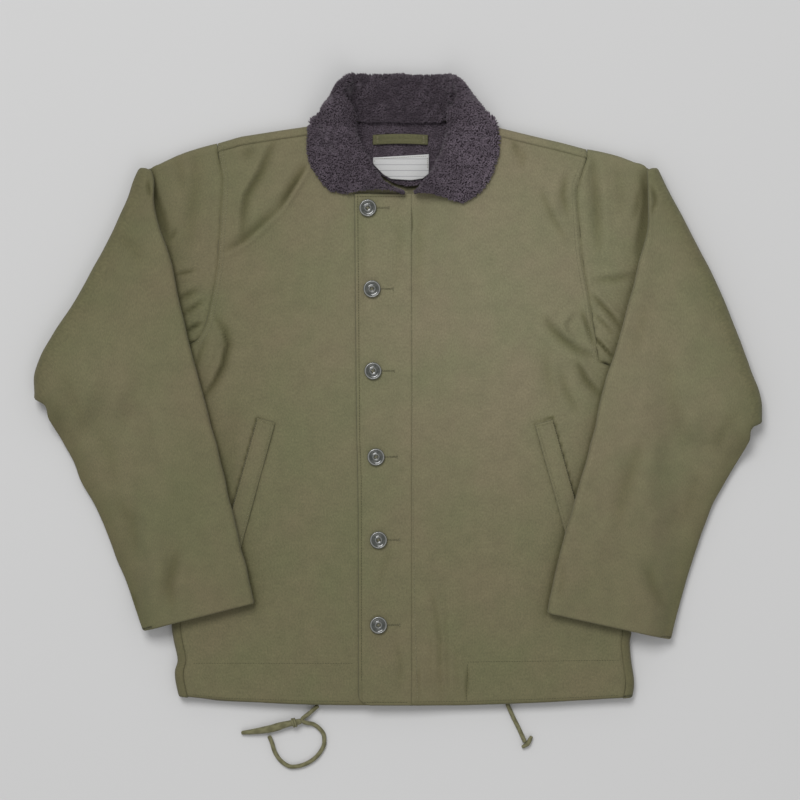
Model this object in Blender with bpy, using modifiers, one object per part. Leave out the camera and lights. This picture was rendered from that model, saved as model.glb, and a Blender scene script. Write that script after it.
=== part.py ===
"""Deck jacket laid flat on its back, fronts closed, sleeves folded over the fronts.

Metres, +Z up. The tables are in millimetres in the garment's own frame: x from the
centre front, positive to the wearer's left, y from the lowest point of the hem towards
the collar, z from the surface that it lies on. An empty moves that frame so that the
origin is under the middle of the jacket.
"""
import math

import bmesh
import bpy
from mathutils import Vector

MM = 0.001
SEAM_GAP = 0.3            # between neighbouring pieces
BODY_DEPTH = 16.0         # back and fronts lying on each other
BODY_WALL = 7.0           # cloth with its pile lining
ROLL = BODY_DEPTH / 2     # the back rolls up round the sides and shoulders
SEAM_INSET = 11.0         # side and shoulder seams show this far inside the outline
CROWN = 1.5               # the fronts are a little higher in the middle
EDGE_RUN = 60.0           # crown and folds start from the hem over this distance
SHOULDER_RUN = 40.0       # and end at the shoulder seams over this
SLEEVE_DEPTH = 14.0
SLEEVE_WALL = 5.5
SLEEVE_GAP = 1.0          # between the two layers of a folded sleeve
CAP_BOW = 5.0             # the sleeve's upper edge curves up by this much
UNDERARM_BOW = 12.0       # and its hidden lower edge by this much
DRAPE_START = 14.0        # a sleeve comes down to the surface from here
DRAPE_RUN = 45.0          # over this distance
COLLAR_WALL = 7.5
COLLAR_TURN = 8.3         # outer radius where the collar turns over
COLLAR_LEAN = math.radians(50.0)
COLLAR_BACK_TOP = 18.0
PLACKET_DEPTH = 3.0
PLACKET_SEAT = 0.4        # its clearance over the right front
PLACKET_SEAM = 8.0        # x of the seam to the left front
RIGHT_FRONT_EDGE = 5.0    # x of the right front's edge, under the placket
LEFT_FRONT_EDGE = 8.3
PLACKET_STEP = 3.4        # the left front is raised this much where the placket starts
STEP_RUN = 60.0
LINING_TOP = 9.9
WELT_DEPTH = 2.5
WELT_SEAT = 0.5
BUTTON_RADIUS = 10.5
BUTTON_SEAT = 0.35
SLEEVE_SEAT = 2.2         # between the fronts and the folded part of a sleeve
CORD_RADIUS = 2.6
FRAME_SHIFT = (7.85, -380.7)   # from the garment's frame to the part's origin

# Outline of the body. Columns: y, x.
SIDE_RIGHT = [(10.1, -271.6), (40, -276.6), (55, -273.5), (76, -277.4), (97, -280.4),
              (180, -278.0), (300, -274.0), (420.5, -272.0)]
SIDE_LEFT = [(9.0, 274.2), (28, 276.2), (56, 273.0), (76, 271.2), (86, 273.0),
             (200, 273.0), (300, 272.5), (391, 272.0)]
ARMHOLE_RIGHT = [(420.5, -260.7), (427, -259.4), (433.2, -257.9), (437.5, -250.3), (457.2, -238.6),
                 (484.8, -232.2), (521, -225.7), (574.8, -221.4), (632.4, -218.2),
                 (664.6, -224.2), (676, -224.6)]
ARMHOLE_LEFT = [(391, 260.4), (399.5, 258.6), (404.1, 254.0), (408.4, 245.2), (412.3, 234.2),
                (436.2, 229.3), (492, 221.4), (535.7, 213.4), (596.4, 208.1), (619.2, 207.0),
                (656.7, 218.4), (669, 219.0)]
# Columns: x, y.
HEM = [(-271.6, 10.1), (-215, 4.1), (-115, 0.6), (-45, 0), (68, 0), (165.7, 3.0),
       (253.3, 7.2), (274.2, 9.0)]
SHOULDER = [(-224.6, 676), (-197.4, 684), (-150, 691.5), (-115.8, 696.5), (-82, 706), (-78, 708),
            (76, 708), (80, 705.5), (114, 694.8), (150, 686), (190, 676.5), (219, 668.7)]
NECK_RIGHT = [(-78, 697), (-68, 685), (-58, 668), (-46, 650), (-32, 634), (-20, 624),
              (-8, 618.5), (5, 617.5)]
NECK_LEFT = [(8.3, 614.5), (16, 615.5), (25, 620), (37, 631), (50, 647), (62, 667),
             (69, 683), (76, 697)]
BACK_NECK = [(-72, 703.4), (-59, 703.7), (0, 703.2), (49, 703.7), (70, 703.4)]
BACK_NECK_HALF = 81.0     # the shoulder roll of the back starts this far from the centre

# Sleeves. Plan points, x then y. The face of the armhole ring, the fold, and the two edges
# of the part that is folded back over the front.
SLEEVES = {
    "right": {
        "armhole": [(-225.6, 668), (-225.4, 664.6), (-218.8, 632.4), (-221.8, 574.8),
                    (-226.1, 521), (-232.6, 484.8), (-239.0, 457.2), (-250.7, 437.9),
                    (-258.4, 433.8), (-262.0, 429.5)],
        "armhole_end": (-0.35, -0.94),
        "fold": [(-318.2, 641.0), (-334.9, 600.4), (-354.2, 561.7), (-369.2, 534.0),
                 (-397.1, 484.8), (-418.6, 454.8), (-437.9, 420.4), (-445.9, 392.4),
                 (-444.6, 368.9)],
        "inner_edge": [(-318.0, 641.0), (-311.4, 628.2), (-303.0, 602.4), (-285.7, 561.7),
                       (-270.7, 487.2), (-255.7, 427.2), (-239.5, 365.3), (-222.6, 305.6),
                       (-205.8, 232.0), (-186.8, 156.4), (-178.8, 123.6)],
        "outer_edge": [(-444.6, 368.9), (-429.6, 349.4), (-401.6, 299.6), (-381.8, 253.9),
                       (-363.8, 226.1), (-352.0, 188.4), (-332.0, 144.5), (-314.2, 89.8)],
    },
    "left": {
        "armhole": [(220.1, 661.0), (220.0, 657.0), (207.6, 619.2), (208.7, 596.4),
                    (214.0, 535.7), (222.0, 492.0), (229.9, 436.4), (234.8, 413.0),
                    (245.7, 409.2), (254.8, 404.9), (260.2, 400.2)],
        "armhole_end": (0.35, -0.94),
        "fold": [(303.4, 636.7), (319.4, 606.7), (351.6, 551.0), (368.8, 518.9),
                 (390.1, 471.7), (411.6, 418.2), (428.8, 371.0), (430.2, 356.9),
                 (430.2, 339.7)],
        "inner_edge": [(303.4, 636.7), (291.6, 620.0), (292.7, 589.7), (289.4, 566.0),
                       (270.1, 488.9), (257.3, 439.7), (236.3, 374.0), (221.3, 305.5),
                       (204.1, 249.7), (178.4, 155.5), (171.0, 111.6)],
        "outer_edge": [(430.2, 339.7), (418.4, 324.7), (397.1, 288.4), (371.3, 243.4),
                       (356.3, 202.8), (343.4, 166.2), (332.8, 127.7), (319.8, 79.4)],
    },
}

# Collar stations from one end at the centre front, round the back, to the other end.
# Columns: seam x, seam y, lie (0 on the front, 1 standing at the side, 2 on its back),
# stand length, edge x, edge y, edge z (None: it rests on the front).
COLLAR = [
    (-7.0, 618.2, 0.00, 0.5, -72.0, 616.3, None),
    (-19.0, 622.0, 0.00, 3.0, -90.0, 619.5, None),
    (-36.9, 630.3, 0.00, 6.0, -101.0, 629.0, None),
    (-49.3, 642.8, 0.00, 9.0, -111.0, 642.0, None),
    (-61.3, 657.8, 0.00, 12.0, -117.0, 657.0, None),
    (-72.3, 674.0, 0.00, 14.0, -118.9, 676.0, None),
    (-80.0, 693.0, 0.08, 16.0, -117.0, 694.5, None),
    (-79.0, 700.0, 0.40, 22.0, -112.5, 705.5, 25.0),
    (-75.0, 704.0, 0.75, 30.0, -104.0, 717.0, 21.0),
    (-70.0, 705.0, 1.05, 38.0, -94.0, 730.0, 16.0),
    (-65.0, 704.0, 1.40, 45.0, -84.0, 742.0, 11.0),
    (-60.0, 702.6, 1.75, 50.0, -70.0, 733.0, 6.0),
    (-50.0, 701.4, 2.00, 51.4, -50.0, 717.0, 1.6),
    (-27.0, 701.0, 2.00, 51.6, -26.0, 716.0, 1.6),
    (-4.0, 701.0, 2.00, 51.8, -4.0, 716.0, 1.6),
    (19.0, 701.0, 2.00, 51.0, 18.0, 716.0, 1.6),
    (41.0, 701.4, 2.00, 50.6, 41.0, 717.0, 1.6),
    (51.0, 702.6, 1.75, 49.0, 60.0, 733.0, 6.0),
    (56.0, 704.0, 1.40, 45.0, 75.0, 742.0, 11.0),
    (61.0, 705.0, 1.05, 38.0, 87.0, 731.0, 16.0),
    (67.0, 704.0, 0.75, 30.0, 98.0, 719.0, 21.0),
    (71.5, 700.5, 0.40, 22.0, 108.0, 708.0, 25.0),
    (73.5, 694.0, 0.08, 16.0, 114.5, 693.5, None),
    (68.5, 678.5, 0.00, 14.0, 115.8, 675.0, None),
    (61.7, 663.8, 0.00, 12.0, 113.5, 658.0, None),
    (48.9, 643.2, 0.00, 9.0, 106.0, 637.0, None),
    (35.9, 629.3, 0.00, 6.0, 97.0, 622.0, None),
    (24.9, 620.3, 0.00, 3.0, 86.0, 611.0, None),
    (17.2, 616.0, 0.00, 0.5, 68.0, 604.0, None),
]

# Largest soft folds. Columns: x and y of both ends, half width, height.
FOLDS_FRONT = [
    (-130, 629, -180, 580, 11, 2.6), (-180, 580, -214, 547, 10, 2.0),
    (-184, 628, -199, 561, 9, 1.8), (162, 619, 192, 570, 10, 2.6),
    (190, 631, 196, 586, 8, 1.8), (176, 466, 206, 416, 10, 2.4),
    (34, 139, 45, 6, 8, 2.2), (62, 120, 66, 10, 7, 1.4),
    (-150, 520, -205, 480, 12, 1.6), (95, 300, 110, 180, 14, 1.2),
]
FOLDS_RIGHT_SLEEVE = [
    (-226, 462, -216, 432, 9, 2.5), (-272, 187, -286, 130, 12, -1.8),
    (-345, 247, -322, 175, 14, 1.6), (-330, 520, -300, 400, 18, 2.0),
    (-380, 400, -330, 330, 16, 1.8), (-300, 330, -262, 250, 15, 1.4),
]
FOLDS_LEFT_SLEEVE = [
    (228, 658, 236, 552, 8, -1.8), (226, 494, 264, 456, 8, 2.6), (226, 467, 247, 451, 7, 2.0),
    (230, 442, 249, 420, 6, 3.0), (290, 258, 236, 203, 16, 2.0), (300, 160, 330, 115, 18, -1.6),
    (350, 480, 330, 380, 16, 2.0), (300, 420, 345, 330, 15, 1.5),
]

BUTTONS = [(-44.0, 597.5), (-39.0, 500.4), (-37.8, 402.0), (-34.2, 298.8),
           (-31.2, 199.2), (-31.2, 97.2)]
# Free edge of the placket and how far its lower corner is rounded. Columns: y, x.
PLACKET_EDGE = [(2.4, -55.0), (30, -55.6), (271, -55.8), (319, -57.7), (615.2, -60.2)]
PLACKET_CORNER = [(2.4, 9.0), (5.0, 3.5), (12.0, 0.0)]
PLACKET_LEVELS = [2.4, 5.0, 12, 45, 80, 115, 150, 215, 300, 385, 470, 540, 590, 615.4]
WELTS = {"right": [(-166.0, 343.0), (-212.0, 176.0)], "left": [(167.4, 340.5), (212.0, 182.0)]}
WELT_WIDTH = 23.0
# Centre lines of the cords, x, y and z, as they lie.
CORD_RIGHT = [(-105.2, -2.0, 4.0), (-114.0, -9.5, 5.2), (-123.6, -18.4, 6.6), (-118.6, -21.6, 5.4),
              (-111.5, -22.8, 3.6), (-103.5, -27.8, 2.7), (-97.2, -36.6, 2.7), (-96.6, -45.0, 2.7),
              (-102.8, -58.8, 2.7), (-117.9, -70.8, 2.7), (-135.4, -74.8, 2.7),
              (-148.1, -68.4, 2.7), (-156.1, -57.2, 2.7), (-160.2, -44.5, 3.4),
              (-162.6, -39.0, 3.4)]
CORD_LEFT = [(124.2, 0.3, 4.2), (130.5, -14.0, 3.2), (137.9, -29.0, 2.7), (144.6, -43.8, 3.6)]
CORD_TIP = [(-126.3, -19.9, 7.6), (-134.0, -21.4, 7.6), (-145.0, -24.0, 6.0), (-158.0, -28.0, 5.0),
            (-176.0, -31.5, 4.2), (-195.0, -33.8, 3.0)]
CORD_TIP_RADII = [3.6, 3.8, 4.8, 4.4, 3.4, 2.4]
CORD_KNOT = (-132.5, -21.1, 7.6)
CORD_TAIL = [(142.9, -50.6, 3.2), (147.6, -47.6, 3.6), (152.6, -39.2, 3.2)]

COLOURS = {
    "cloth": ((0.150, 0.145, 0.075, 1.0), 0.8), "pile": ((0.022, 0.014, 0.020, 1.0), 0.95),
    "label": ((0.600, 0.590, 0.540, 1.0), 0.7), "button": ((0.070, 0.072, 0.062, 1.0), 0.35),
    "cord": ((0.130, 0.130, 0.060, 1.0), 0.8),
}


def smooth(value):
    """Ease from 0 to 1."""
    value = min(1.0, max(0.0, value))
    return value * value * (3.0 - 2.0 * value)


def at(table, key):
    """Read the second column of a table at a value of its first."""
    if key <= table[0][0]:
        return table[0][1]
    for (low, start), (high, end) in zip(table, table[1:]):
        if key <= high:
            return start + (end - start) * (key - low) / (high - low)
    return table[-1][1]


def lerp(start, end, part):
    return start + (end - start) * part


def along(points, part):
    """The point at a fraction of a route's length."""
    lengths = [math.dist(a, b) for a, b in zip(points, points[1:])]
    left = part * sum(lengths)
    for start, end, length in zip(points, points[1:], lengths):
        if left <= length or end is points[-1]:
            share = min(1.0, left / length)
            return tuple(lerp(a, b, share) for a, b in zip(start, end))
        left -= length
    return points[-1]


def rounded_route(points, step):
    """A smooth curve through a route's points, read about every step."""
    route = []
    for index in range(len(points) - 1):
        before = points[max(index - 1, 0)]
        start, end = points[index], points[index + 1]
        after = points[min(index + 2, len(points) - 1)]
        count = max(1, round(math.dist(start, end) / step))
        for number in range(count):
            t = number / count
            weights = (-t + 2 * t**2 - t**3, 2 - 5 * t**2 + 3 * t**3,
                       t + 4 * t**2 - 3 * t**3, t**3 - t**2)
            route.append(tuple(0.5 * sum(w * p[axis] for w, p in
                                         zip(weights, (before, start, end, after)))
                               for axis in range(3)))
    route.append(points[-1])
    return route


def folds_at(x, y, folds):
    """Height that the soft folds add at a place."""
    total = 0.0
    for x0, y0, x1, y1, width, height in folds:
        run_x, run_y = x1 - x0, y1 - y0
        part = ((x - x0) * run_x + (y - y0) * run_y) / (run_x**2 + run_y**2)
        near = min(1.0, max(0.0, part))
        away = math.hypot(x - x0 - near * run_x, y - y0 - near * run_y)
        total += height * math.exp(-(away / width) ** 2) * (1.0 - 0.4 * abs(2 * near - 1))
    return total


def front_top(x, y):
    """Height of the fronts' outer face, without the placket."""
    inside = smooth(y / EDGE_RUN) * smooth((at(SHOULDER, x) - SEAM_INSET - y) / SHOULDER_RUN)
    crown = CROWN * (1.0 - (x / 272.0) ** 2) * inside
    step = 0.0
    if x > PLACKET_SEAM - SEAM_GAP:
        step = PLACKET_STEP * (1.0 - smooth((x - LEFT_FRONT_EDGE) / STEP_RUN))
    return BODY_DEPTH + crown + step + folds_at(x, y, FOLDS_FRONT) * inside


def material(name):
    colour, roughness = COLOURS[name]
    made = bpy.data.materials.get(name) or bpy.data.materials.new(name)
    made.use_nodes = True
    shader = made.node_tree.nodes["Principled BSDF"]
    shader.inputs["Base Color"].default_value = colour
    shader.inputs["Roughness"].default_value = roughness
    made.diffuse_color = colour
    return made


def place(made, name, finish):
    """Name an object, give it its material and hang it on the garment's frame."""
    made.name = name
    made.data.name = name
    made.data.materials.clear()
    made.data.materials.append(material(finish))
    for group in list(made.users_collection):
        group.objects.unlink(made)
    bpy.data.collections["deck_jacket"].objects.link(made)
    made.parent = bpy.data.objects["garment_frame"]
    return made


def shell(name, rows, wall, finish, closed=False, flip=False, keep=None):
    """A loft through rows of outer points, thickened inwards."""
    mesh = bpy.data.meshes.new(name)
    work = bmesh.new()
    grid = [[work.verts.new(Vector(point) * MM) for point in row] for row in rows]
    width = len(rows[0])
    for i in range(len(rows) - 1):
        for j in range(width if closed else width - 1):
            if keep and not keep(i, j):
                continue
            k = (j + 1) % width
            corners = [grid[i][j], grid[i][k], grid[i + 1][k], grid[i + 1][j]]
            work.faces.new(corners[::-1] if flip else corners)
    loose = [vertex for vertex in work.verts if not vertex.link_faces]
    bmesh.ops.delete(work, geom=loose, context="VERTS")
    work.to_mesh(mesh)
    work.free()
    mesh.shade_smooth()
    made = bpy.data.objects.new(name, mesh)
    bpy.context.scene.collection.objects.link(made)
    thicken = made.modifiers.new("wall", "SOLIDIFY")
    thicken.thickness = wall * MM
    thicken.offset = -1.0
    thicken.use_even_offset = True
    thicken.use_quality_normals = True
    return place(made, name, finish)


BACK_LEVELS_RIGHT = [10.1, 40, 55, 76, 97, 170, 250, 330, 420.5, 427, 433.2, 437.5, 457.2, 484.8,
                     521, 574.8, 603, 632.4, 664.6, 676]
BACK_LEVELS_LEFT = [9.0, 28, 56, 76, 86, 160, 240, 315, 391, 399.5, 404.1, 408.4, 412.3, 436.2,
                    492, 535.7, 596.4, 619.2, 656.7, 669]
ROLLED_ROWS = 9           # the rows of the back up to the underarms
BACK_COLUMNS = [0, 0.08, 0.17, 0.25, 0.324, 0.36, 0.43, 0.5, 0.57, 0.65, 0.686, 0.75, 0.83,
                0.92, 1]
ROLL_STEPS = 5


def back():
    """The back lies flat and rolls up to the side seams and the shoulder seams."""
    turns = [math.pi * number / ROLL_STEPS for number in range(ROLL_STEPS + 1)]
    flat_top = [(x, y - ROLL) for x, y in SHOULDER if abs(x) >= BACK_NECK_HALF - 2]
    flat_top = sorted(flat_top + BACK_NECK)
    last = len(BACK_LEVELS_RIGHT) - 1
    rows = []
    for level, (y_right, y_left) in enumerate(zip(BACK_LEVELS_RIGHT, BACK_LEVELS_LEFT)):
        rolled = level < ROLLED_ROWS
        right = at(SIDE_RIGHT, y_right) + ROLL if rolled else at(ARMHOLE_RIGHT, y_right)
        left = at(SIDE_LEFT, y_left) - ROLL if rolled else at(ARMHOLE_LEFT, y_left)
        pull = max(0.0, (level - ROLLED_ROWS) / (last - ROLLED_ROWS)) ** 3
        ends = at(flat_top, right), at(flat_top, left)
        middle = []
        for part in BACK_COLUMNS:
            x = lerp(right, left, part)
            y = lerp(y_right, y_left, part) + pull * (at(flat_top, x) - lerp(*ends, part))
            if level == 0:
                y = at(HEM, x)
            if level == last:
                y = at(flat_top, x)
            middle.append((x, y, 0.0))
        if rolled:
            y0, y1 = middle[0][1], middle[-1][1]
            start = [(right + SEAM_INSET - ROLL, y0, BODY_DEPTH)]
            start += [(right - ROLL * math.sin(a), y0, ROLL + ROLL * math.cos(a))
                      for a in turns[:-1]]
            end = [(left + ROLL * math.sin(a), y1, ROLL - ROLL * math.cos(a))
                   for a in turns[1:]]
            end += [(left - SEAM_INSET + ROLL, y1, BODY_DEPTH)]
        else:
            start = [middle[0]] * (len(turns))
            end = [middle[-1]] * (len(turns))
        rows.append(start + middle + end)
    edge = rows[-1]
    for angle in turns[1:]:
        rows.append([(x, y + ROLL * math.sin(angle), ROLL - ROLL * math.cos(angle))
                     for x, y, _ in edge])
    rows.append([(x, y + ROLL - SEAM_INSET, BODY_DEPTH) for x, y, _ in edge])
    side = len(turns)
    neck = [j for j, part in enumerate(BACK_COLUMNS) if 0.33 < part < 0.68]

    def keep(i, j):
        column = j - side
        inside = 0 <= column < len(BACK_COLUMNS) - 1
        if i >= last:
            return inside and not (column in neck or column + 1 in neck)
        return inside or i < ROLLED_ROWS - 1

    shell("back", rows, BODY_WALL, "cloth", flip=True, keep=keep)


FRONTS = {
    "right": {"centre": RIGHT_FRONT_EDGE, "seam": SIDE_RIGHT, "armhole": ARMHOLE_RIGHT, "neck": NECK_RIGHT,
              "levels": BACK_LEVELS_RIGHT[:-1], "side": -1},
    "left": {"centre": LEFT_FRONT_EDGE, "seam": SIDE_LEFT, "armhole": ARMHOLE_LEFT, "neck": NECK_LEFT,
             "levels": BACK_LEVELS_LEFT[:-1], "side": 1},
}


def front(name):
    """A front from the centre to the side seam and armhole, under the neck and shoulder."""
    cut = FRONTS[name]
    side = cut["side"]
    tip_y = cut["levels"][-1]
    tip_x = at(cut["armhole"], tip_y)
    neck = sorted(cut["neck"], key=lambda point: side * point[0])
    seams = sorted((lerp(SHOULDER[0][0], SHOULDER[-1][0], part) for part in BACK_COLUMNS),
                   key=abs)
    seams = [x for x in seams if x * side > BACK_NECK_HALF - 2][:-1] + [tip_x]
    top = neck + [(x, at(SHOULDER, x) - SEAM_INSET - SEAM_GAP) for x in seams]
    low = cut["levels"][0]
    rows = []
    for level, y_side in enumerate(cut["levels"]):
        share = (y_side - low) / (tip_y - low)
        outer = at(cut["armhole"], y_side)
        if level < ROLLED_ROWS:
            outer = at(cut["seam"], y_side) - side * (SEAM_INSET + SEAM_GAP)
        row = []
        for top_x, top_y in top:
            part = (top_x - cut["centre"]) / (tip_x - cut["centre"])
            x = lerp(cut["centre"], outer, part)
            chord = lerp(neck[0][1], tip_y, part)
            y = lerp(lerp(at(HEM, x), low, part**6), chord, share)
            y += share**4 * (top_y - chord)
            row.append((x, y, front_top(x, y)))
        rows.append(row)
    rows[-1] = [(x, y, front_top(x, y)) for x, y in top]
    shell(f"front_{name}", rows, BODY_WALL, "cloth", flip=side < 0)


def placket():
    """The buttoned band, over the edge of the right front, with a rounded lower corner."""
    rows = []
    for y in PLACKET_LEVELS:
        edge = at(PLACKET_EDGE, y) + at(PLACKET_CORNER, y)
        row = []
        for part in (0, 0.1, 0.35, 0.6, 0.8, 1):
            x = lerp(edge, PLACKET_SEAM, part)
            at_hem = part > 0 and y == PLACKET_LEVELS[0]
            top = front_top(min(x, RIGHT_FRONT_EDGE), y) + PLACKET_SEAT + PLACKET_DEPTH
            row.append((x, at(HEM, x) + 0.2 if at_hem else y, top))
        rows.append(row)
    shell("placket", rows, PLACKET_DEPTH, "cloth")


def welt(name):
    """A slanted pocket welt, made from the front's points moved out."""
    (x0, y0), (x1, y1) = WELTS[name]
    across = Vector((y1 - y0, x0 - x1)).normalized() * WELT_WIDTH / 2
    rows = []
    for number in range(8):
        x, y = lerp(x0, x1, number / 7), lerp(y0, y1, number / 7)
        row = []
        for part in (-1, -0.4, 0.4, 1):
            px, py = x + part * across.x, y + part * across.y
            row.append((px, py, front_top(px, py) + WELT_SEAT + WELT_DEPTH))
        rows.append(row)
    shell(f"pocket_welt_{name}", rows, WELT_DEPTH, "cloth")


def welt_bump(x, y, name):
    (x0, y0), (x1, y1) = WELTS[name]
    run_x, run_y = x1 - x0, y1 - y0
    part = ((x - x0) * run_x + (y - y0) * run_y) / (run_x**2 + run_y**2)
    near = min(1.0, max(0.0, part))
    away = math.hypot(x - x0 - near * run_x, y - y0 - near * run_y)
    return (WELT_DEPTH + 1.0) * (1.0 - smooth((away - WELT_WIDTH / 2 - 8.0) / 25.0))


def support(x, y, name):
    """Height of what the folded-over part of a sleeve lies on."""
    cut = SLEEVES[name]
    side = -1 if name == "right" else 1
    outline = SIDE_RIGHT if name == "right" else SIDE_LEFT
    off_body = side * (x - at(outline, y))
    on_body = BODY_DEPTH + SLEEVE_SEAT + welt_bump(x, y, name)
    on_body += folds_at(x, y, FOLDS_FRONT)
    height = on_body * (1.0 - smooth((off_body - DRAPE_START) / DRAPE_RUN))
    start = cut["armhole"][-1]
    end = cut["fold"][-1]
    run = Vector((end[0] - start[0], end[1] - start[1])).normalized()
    below = side * ((y - start[1]) * run.x - (x - start[0]) * run.y) * -1.0
    off_arm = abs(x) - abs(at([(py, px) for px, py in cut["armhole"][::-1]], y))
    layer = SLEEVE_DEPTH + SLEEVE_GAP + 2.0 * (1.0 - smooth(off_arm / 30.0))
    lower = layer * (1.0 - smooth((below - DRAPE_START) / DRAPE_RUN))
    return max(height, lower)


CAP_TURNS = [math.radians(45), math.radians(90), math.radians(135)]


def ring(face, half, up, end_start, end_far):
    """A flattened ring: the front face, one end, the back face, the other end."""
    loop = [Vector(p) + half * up for p in face]
    loop += [Vector(face[-1]) + half * (math.cos(a) * up + math.sin(a) * end_far)
             for a in CAP_TURNS]
    loop += [Vector(p) - half * up for p in reversed(face)]
    loop += [Vector(face[0]) - half * (math.cos(a) * up - math.sin(a) * end_start)
             for a in CAP_TURNS]
    return loop


def trimmed(points, trim, shares):
    """Points at the shares of a route, with a length left off at both ends."""
    length = sum(math.dist(a, b) for a, b in zip(points, points[1:]))
    return [along(points, (trim + share * (length - 2 * trim)) / length) for share in shares]


def sleeve(name):
    """A flat sleeve that goes out from the armhole and is folded back over the front."""
    cut = SLEEVES[name]
    side = -1 if name == "right" else 1
    folds = FOLDS_RIGHT_SLEEVE if name == "right" else FOLDS_LEFT_SLEEVE
    half = SLEEVE_DEPTH / 2
    armhole = cut["armhole"]
    total = sum(math.dist(a, b) for a, b in zip(armhole, armhole[1:]))
    shares, run = [0.0], 0.0
    for a, b in zip(armhole, armhole[1:]):
        run += math.dist(a, b)
        shares.append(run / total)
    fold = trimmed(cut["fold"], half, shares)
    first, last = Vector(cut["fold"][0]), Vector(cut["fold"][-1])
    chord = (last - first).normalized()
    inward = Vector((-chord.y, chord.x)) if side < 0 else Vector((chord.y, -chord.x))
    turn = SLEEVE_DEPTH + SLEEVE_GAP / 2
    axis = [(x + turn * inward.x, y + turn * inward.y) for x, y in fold]
    up = Vector((0, 0, 1))
    toward = Vector((inward.x, inward.y, 0))
    rings = []
    arm_end = Vector((*cut["armhole_end"], 0)).normalized()
    far_end = Vector((chord.x, chord.y, 0))
    for part in (0, 0.12, 0.32, 0.54, 0.77, 1.0):
        deep = ROLL + (half - ROLL) * smooth(part / 0.3)
        bow = math.sin(math.pi * part)
        face = []
        for share, (ax, ay), (fx, fy) in zip(shares, armhole, axis):
            x = lerp(ax, fx, part)
            y = lerp(ay, fy, part) + bow * (CAP_BOW * (1.0 - share) ** 2 + UNDERARM_BOW * share**2)
            face.append((x, y, deep))
        near = Vector((side * 0.1, 1.0, 0)).lerp(-far_end, part).normalized()
        loop = ring(face, deep, up, near, arm_end.lerp(far_end, part).normalized())
        for point in loop[:len(face)]:
            point.z += folds_at(point.x, point.y, folds) * smooth(part / 0.1) * (1.0 - part)
        rings.append(loop)
    for degrees in (36, 72, 108, 144, 180):
        angle = math.radians(degrees)
        normal = math.sin(angle) * toward + math.cos(angle) * up
        lift = turn - (half + SLEEVE_GAP / 2) * math.cos(angle)
        out = (half + SLEEVE_GAP / 2) * math.sin(angle)
        face = [(x - out * inward.x, y - out * inward.y, lift) for x, y in axis]
        rings.append(ring(face, half, normal, -far_end, far_end))
    straight = [along([axis[0], axis[-1]], share) for share in shares]
    for part in (0.1, 0.2, 0.3, 0.4, 0.5, 0.6, 0.7, 0.8, 0.9, 1.0):
        inner = Vector(along(cut["inner_edge"], part))
        outer = Vector(along(cut["outer_edge"], part))
        span = (outer - inner).normalized()
        inner += span * half
        outer -= span * half
        face = []
        for share, (bx, by), (cx, cy) in zip(shares, axis, straight):
            bow = (1.0 - part) ** 4
            x = lerp(inner.x, outer.x, share) + bow * (bx - cx)
            y = lerp(inner.y, outer.y, share) + bow * (by - cy)
            face.append((x, y, support(x, y, name) + half))
        end = Vector((span.x, span.y, 0))
        loop = ring(face, half, -up, -end, end)
        far = len(face) + len(CAP_TURNS)
        for point in loop[far:far + len(face)]:
            point.z += folds_at(point.x, point.y, folds) * smooth((1.0 - part) / 0.1)
        rings.append(loop)
    shell(f"sleeve_{name}", rings, SLEEVE_WALL, "cloth", closed=True, flip=side < 0)


def collar_frame(lie, outward, side):
    """Directions of the collar's stand and of the way that it turns over."""
    up = Vector((0, 0, 1))
    on_front = (-outward, up)
    standing = (Vector((0, math.sin(COLLAR_LEAN), math.cos(COLLAR_LEAN))), Vector((side, 0, 0)))
    on_back = (Vector((0, 1, 0)), -up)
    low, high, part = (on_front, standing, lie) if lie <= 1 else (standing, on_back, lie - 1)
    stand = low[0].lerp(high[0], part).normalized()
    over = low[1].lerp(high[1], part)
    over = (over - over.dot(stand) * stand).normalized()
    return stand, over


STAND_SHARES = [0, 0.35, 0.7]
TURN_STEPS = 6
FALL_SHARES = [0.2, 0.4, 0.6, 0.8, 1.0]


def collar_section(station):
    seam_x, seam_y, lie, length, edge_x, edge_y, edge_z = station
    side = -1 if seam_x < 0 else 1
    outward = Vector((edge_x - seam_x, edge_y - seam_y, 0)).normalized()
    stand, over = collar_frame(lie, outward, side)
    rest = front_top(seam_x, min(seam_y, 690.0)) + 0.6
    seam_z = rest if lie < 1 else lerp(rest, COLLAR_BACK_TOP, lie - 1)
    if edge_z is None:
        edge_z = front_top(edge_x, min(edge_y, 685.0)) + 0.8 + COLLAR_WALL
    seam = Vector((seam_x, seam_y, seam_z))
    edge = Vector((edge_x, edge_y, edge_z))
    centre = seam + length * stand + COLLAR_TURN * over
    aim = edge.copy()
    aim.z = lerp(centre.z + COLLAR_TURN, edge.z, min(1.0, lie))
    along_stand = (aim - centre).dot(stand)
    across = (aim - centre).dot(over)
    reach = math.hypot(along_stand, across)
    angle = math.atan2(across, along_stand) + math.pi / 2 - math.acos(COLLAR_TURN / reach)
    section = [seam + share * length * stand for share in STAND_SHARES]
    for step in range(TURN_STEPS + 1):
        turn = angle * step / TURN_STEPS
        section.append(centre + COLLAR_TURN * (math.sin(turn) * stand - math.cos(turn) * over))
    start = section[-1].copy()
    fall = (edge - start).length
    for share in FALL_SHARES:
        point = start.lerp(edge, share)
        if lie < 1:
            past = (share * fall - length - 2.0) / (fall - length - 2.0)
            held = lerp(start.z, edge.z, smooth(past * 1.2))
            point.z = lerp(held, point.z, lie)
        section.append(point)
    return section


def collar():
    rows = [collar_section(station) for station in COLLAR]
    shell("collar", rows, COLLAR_WALL, "pile", flip=True)


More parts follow.
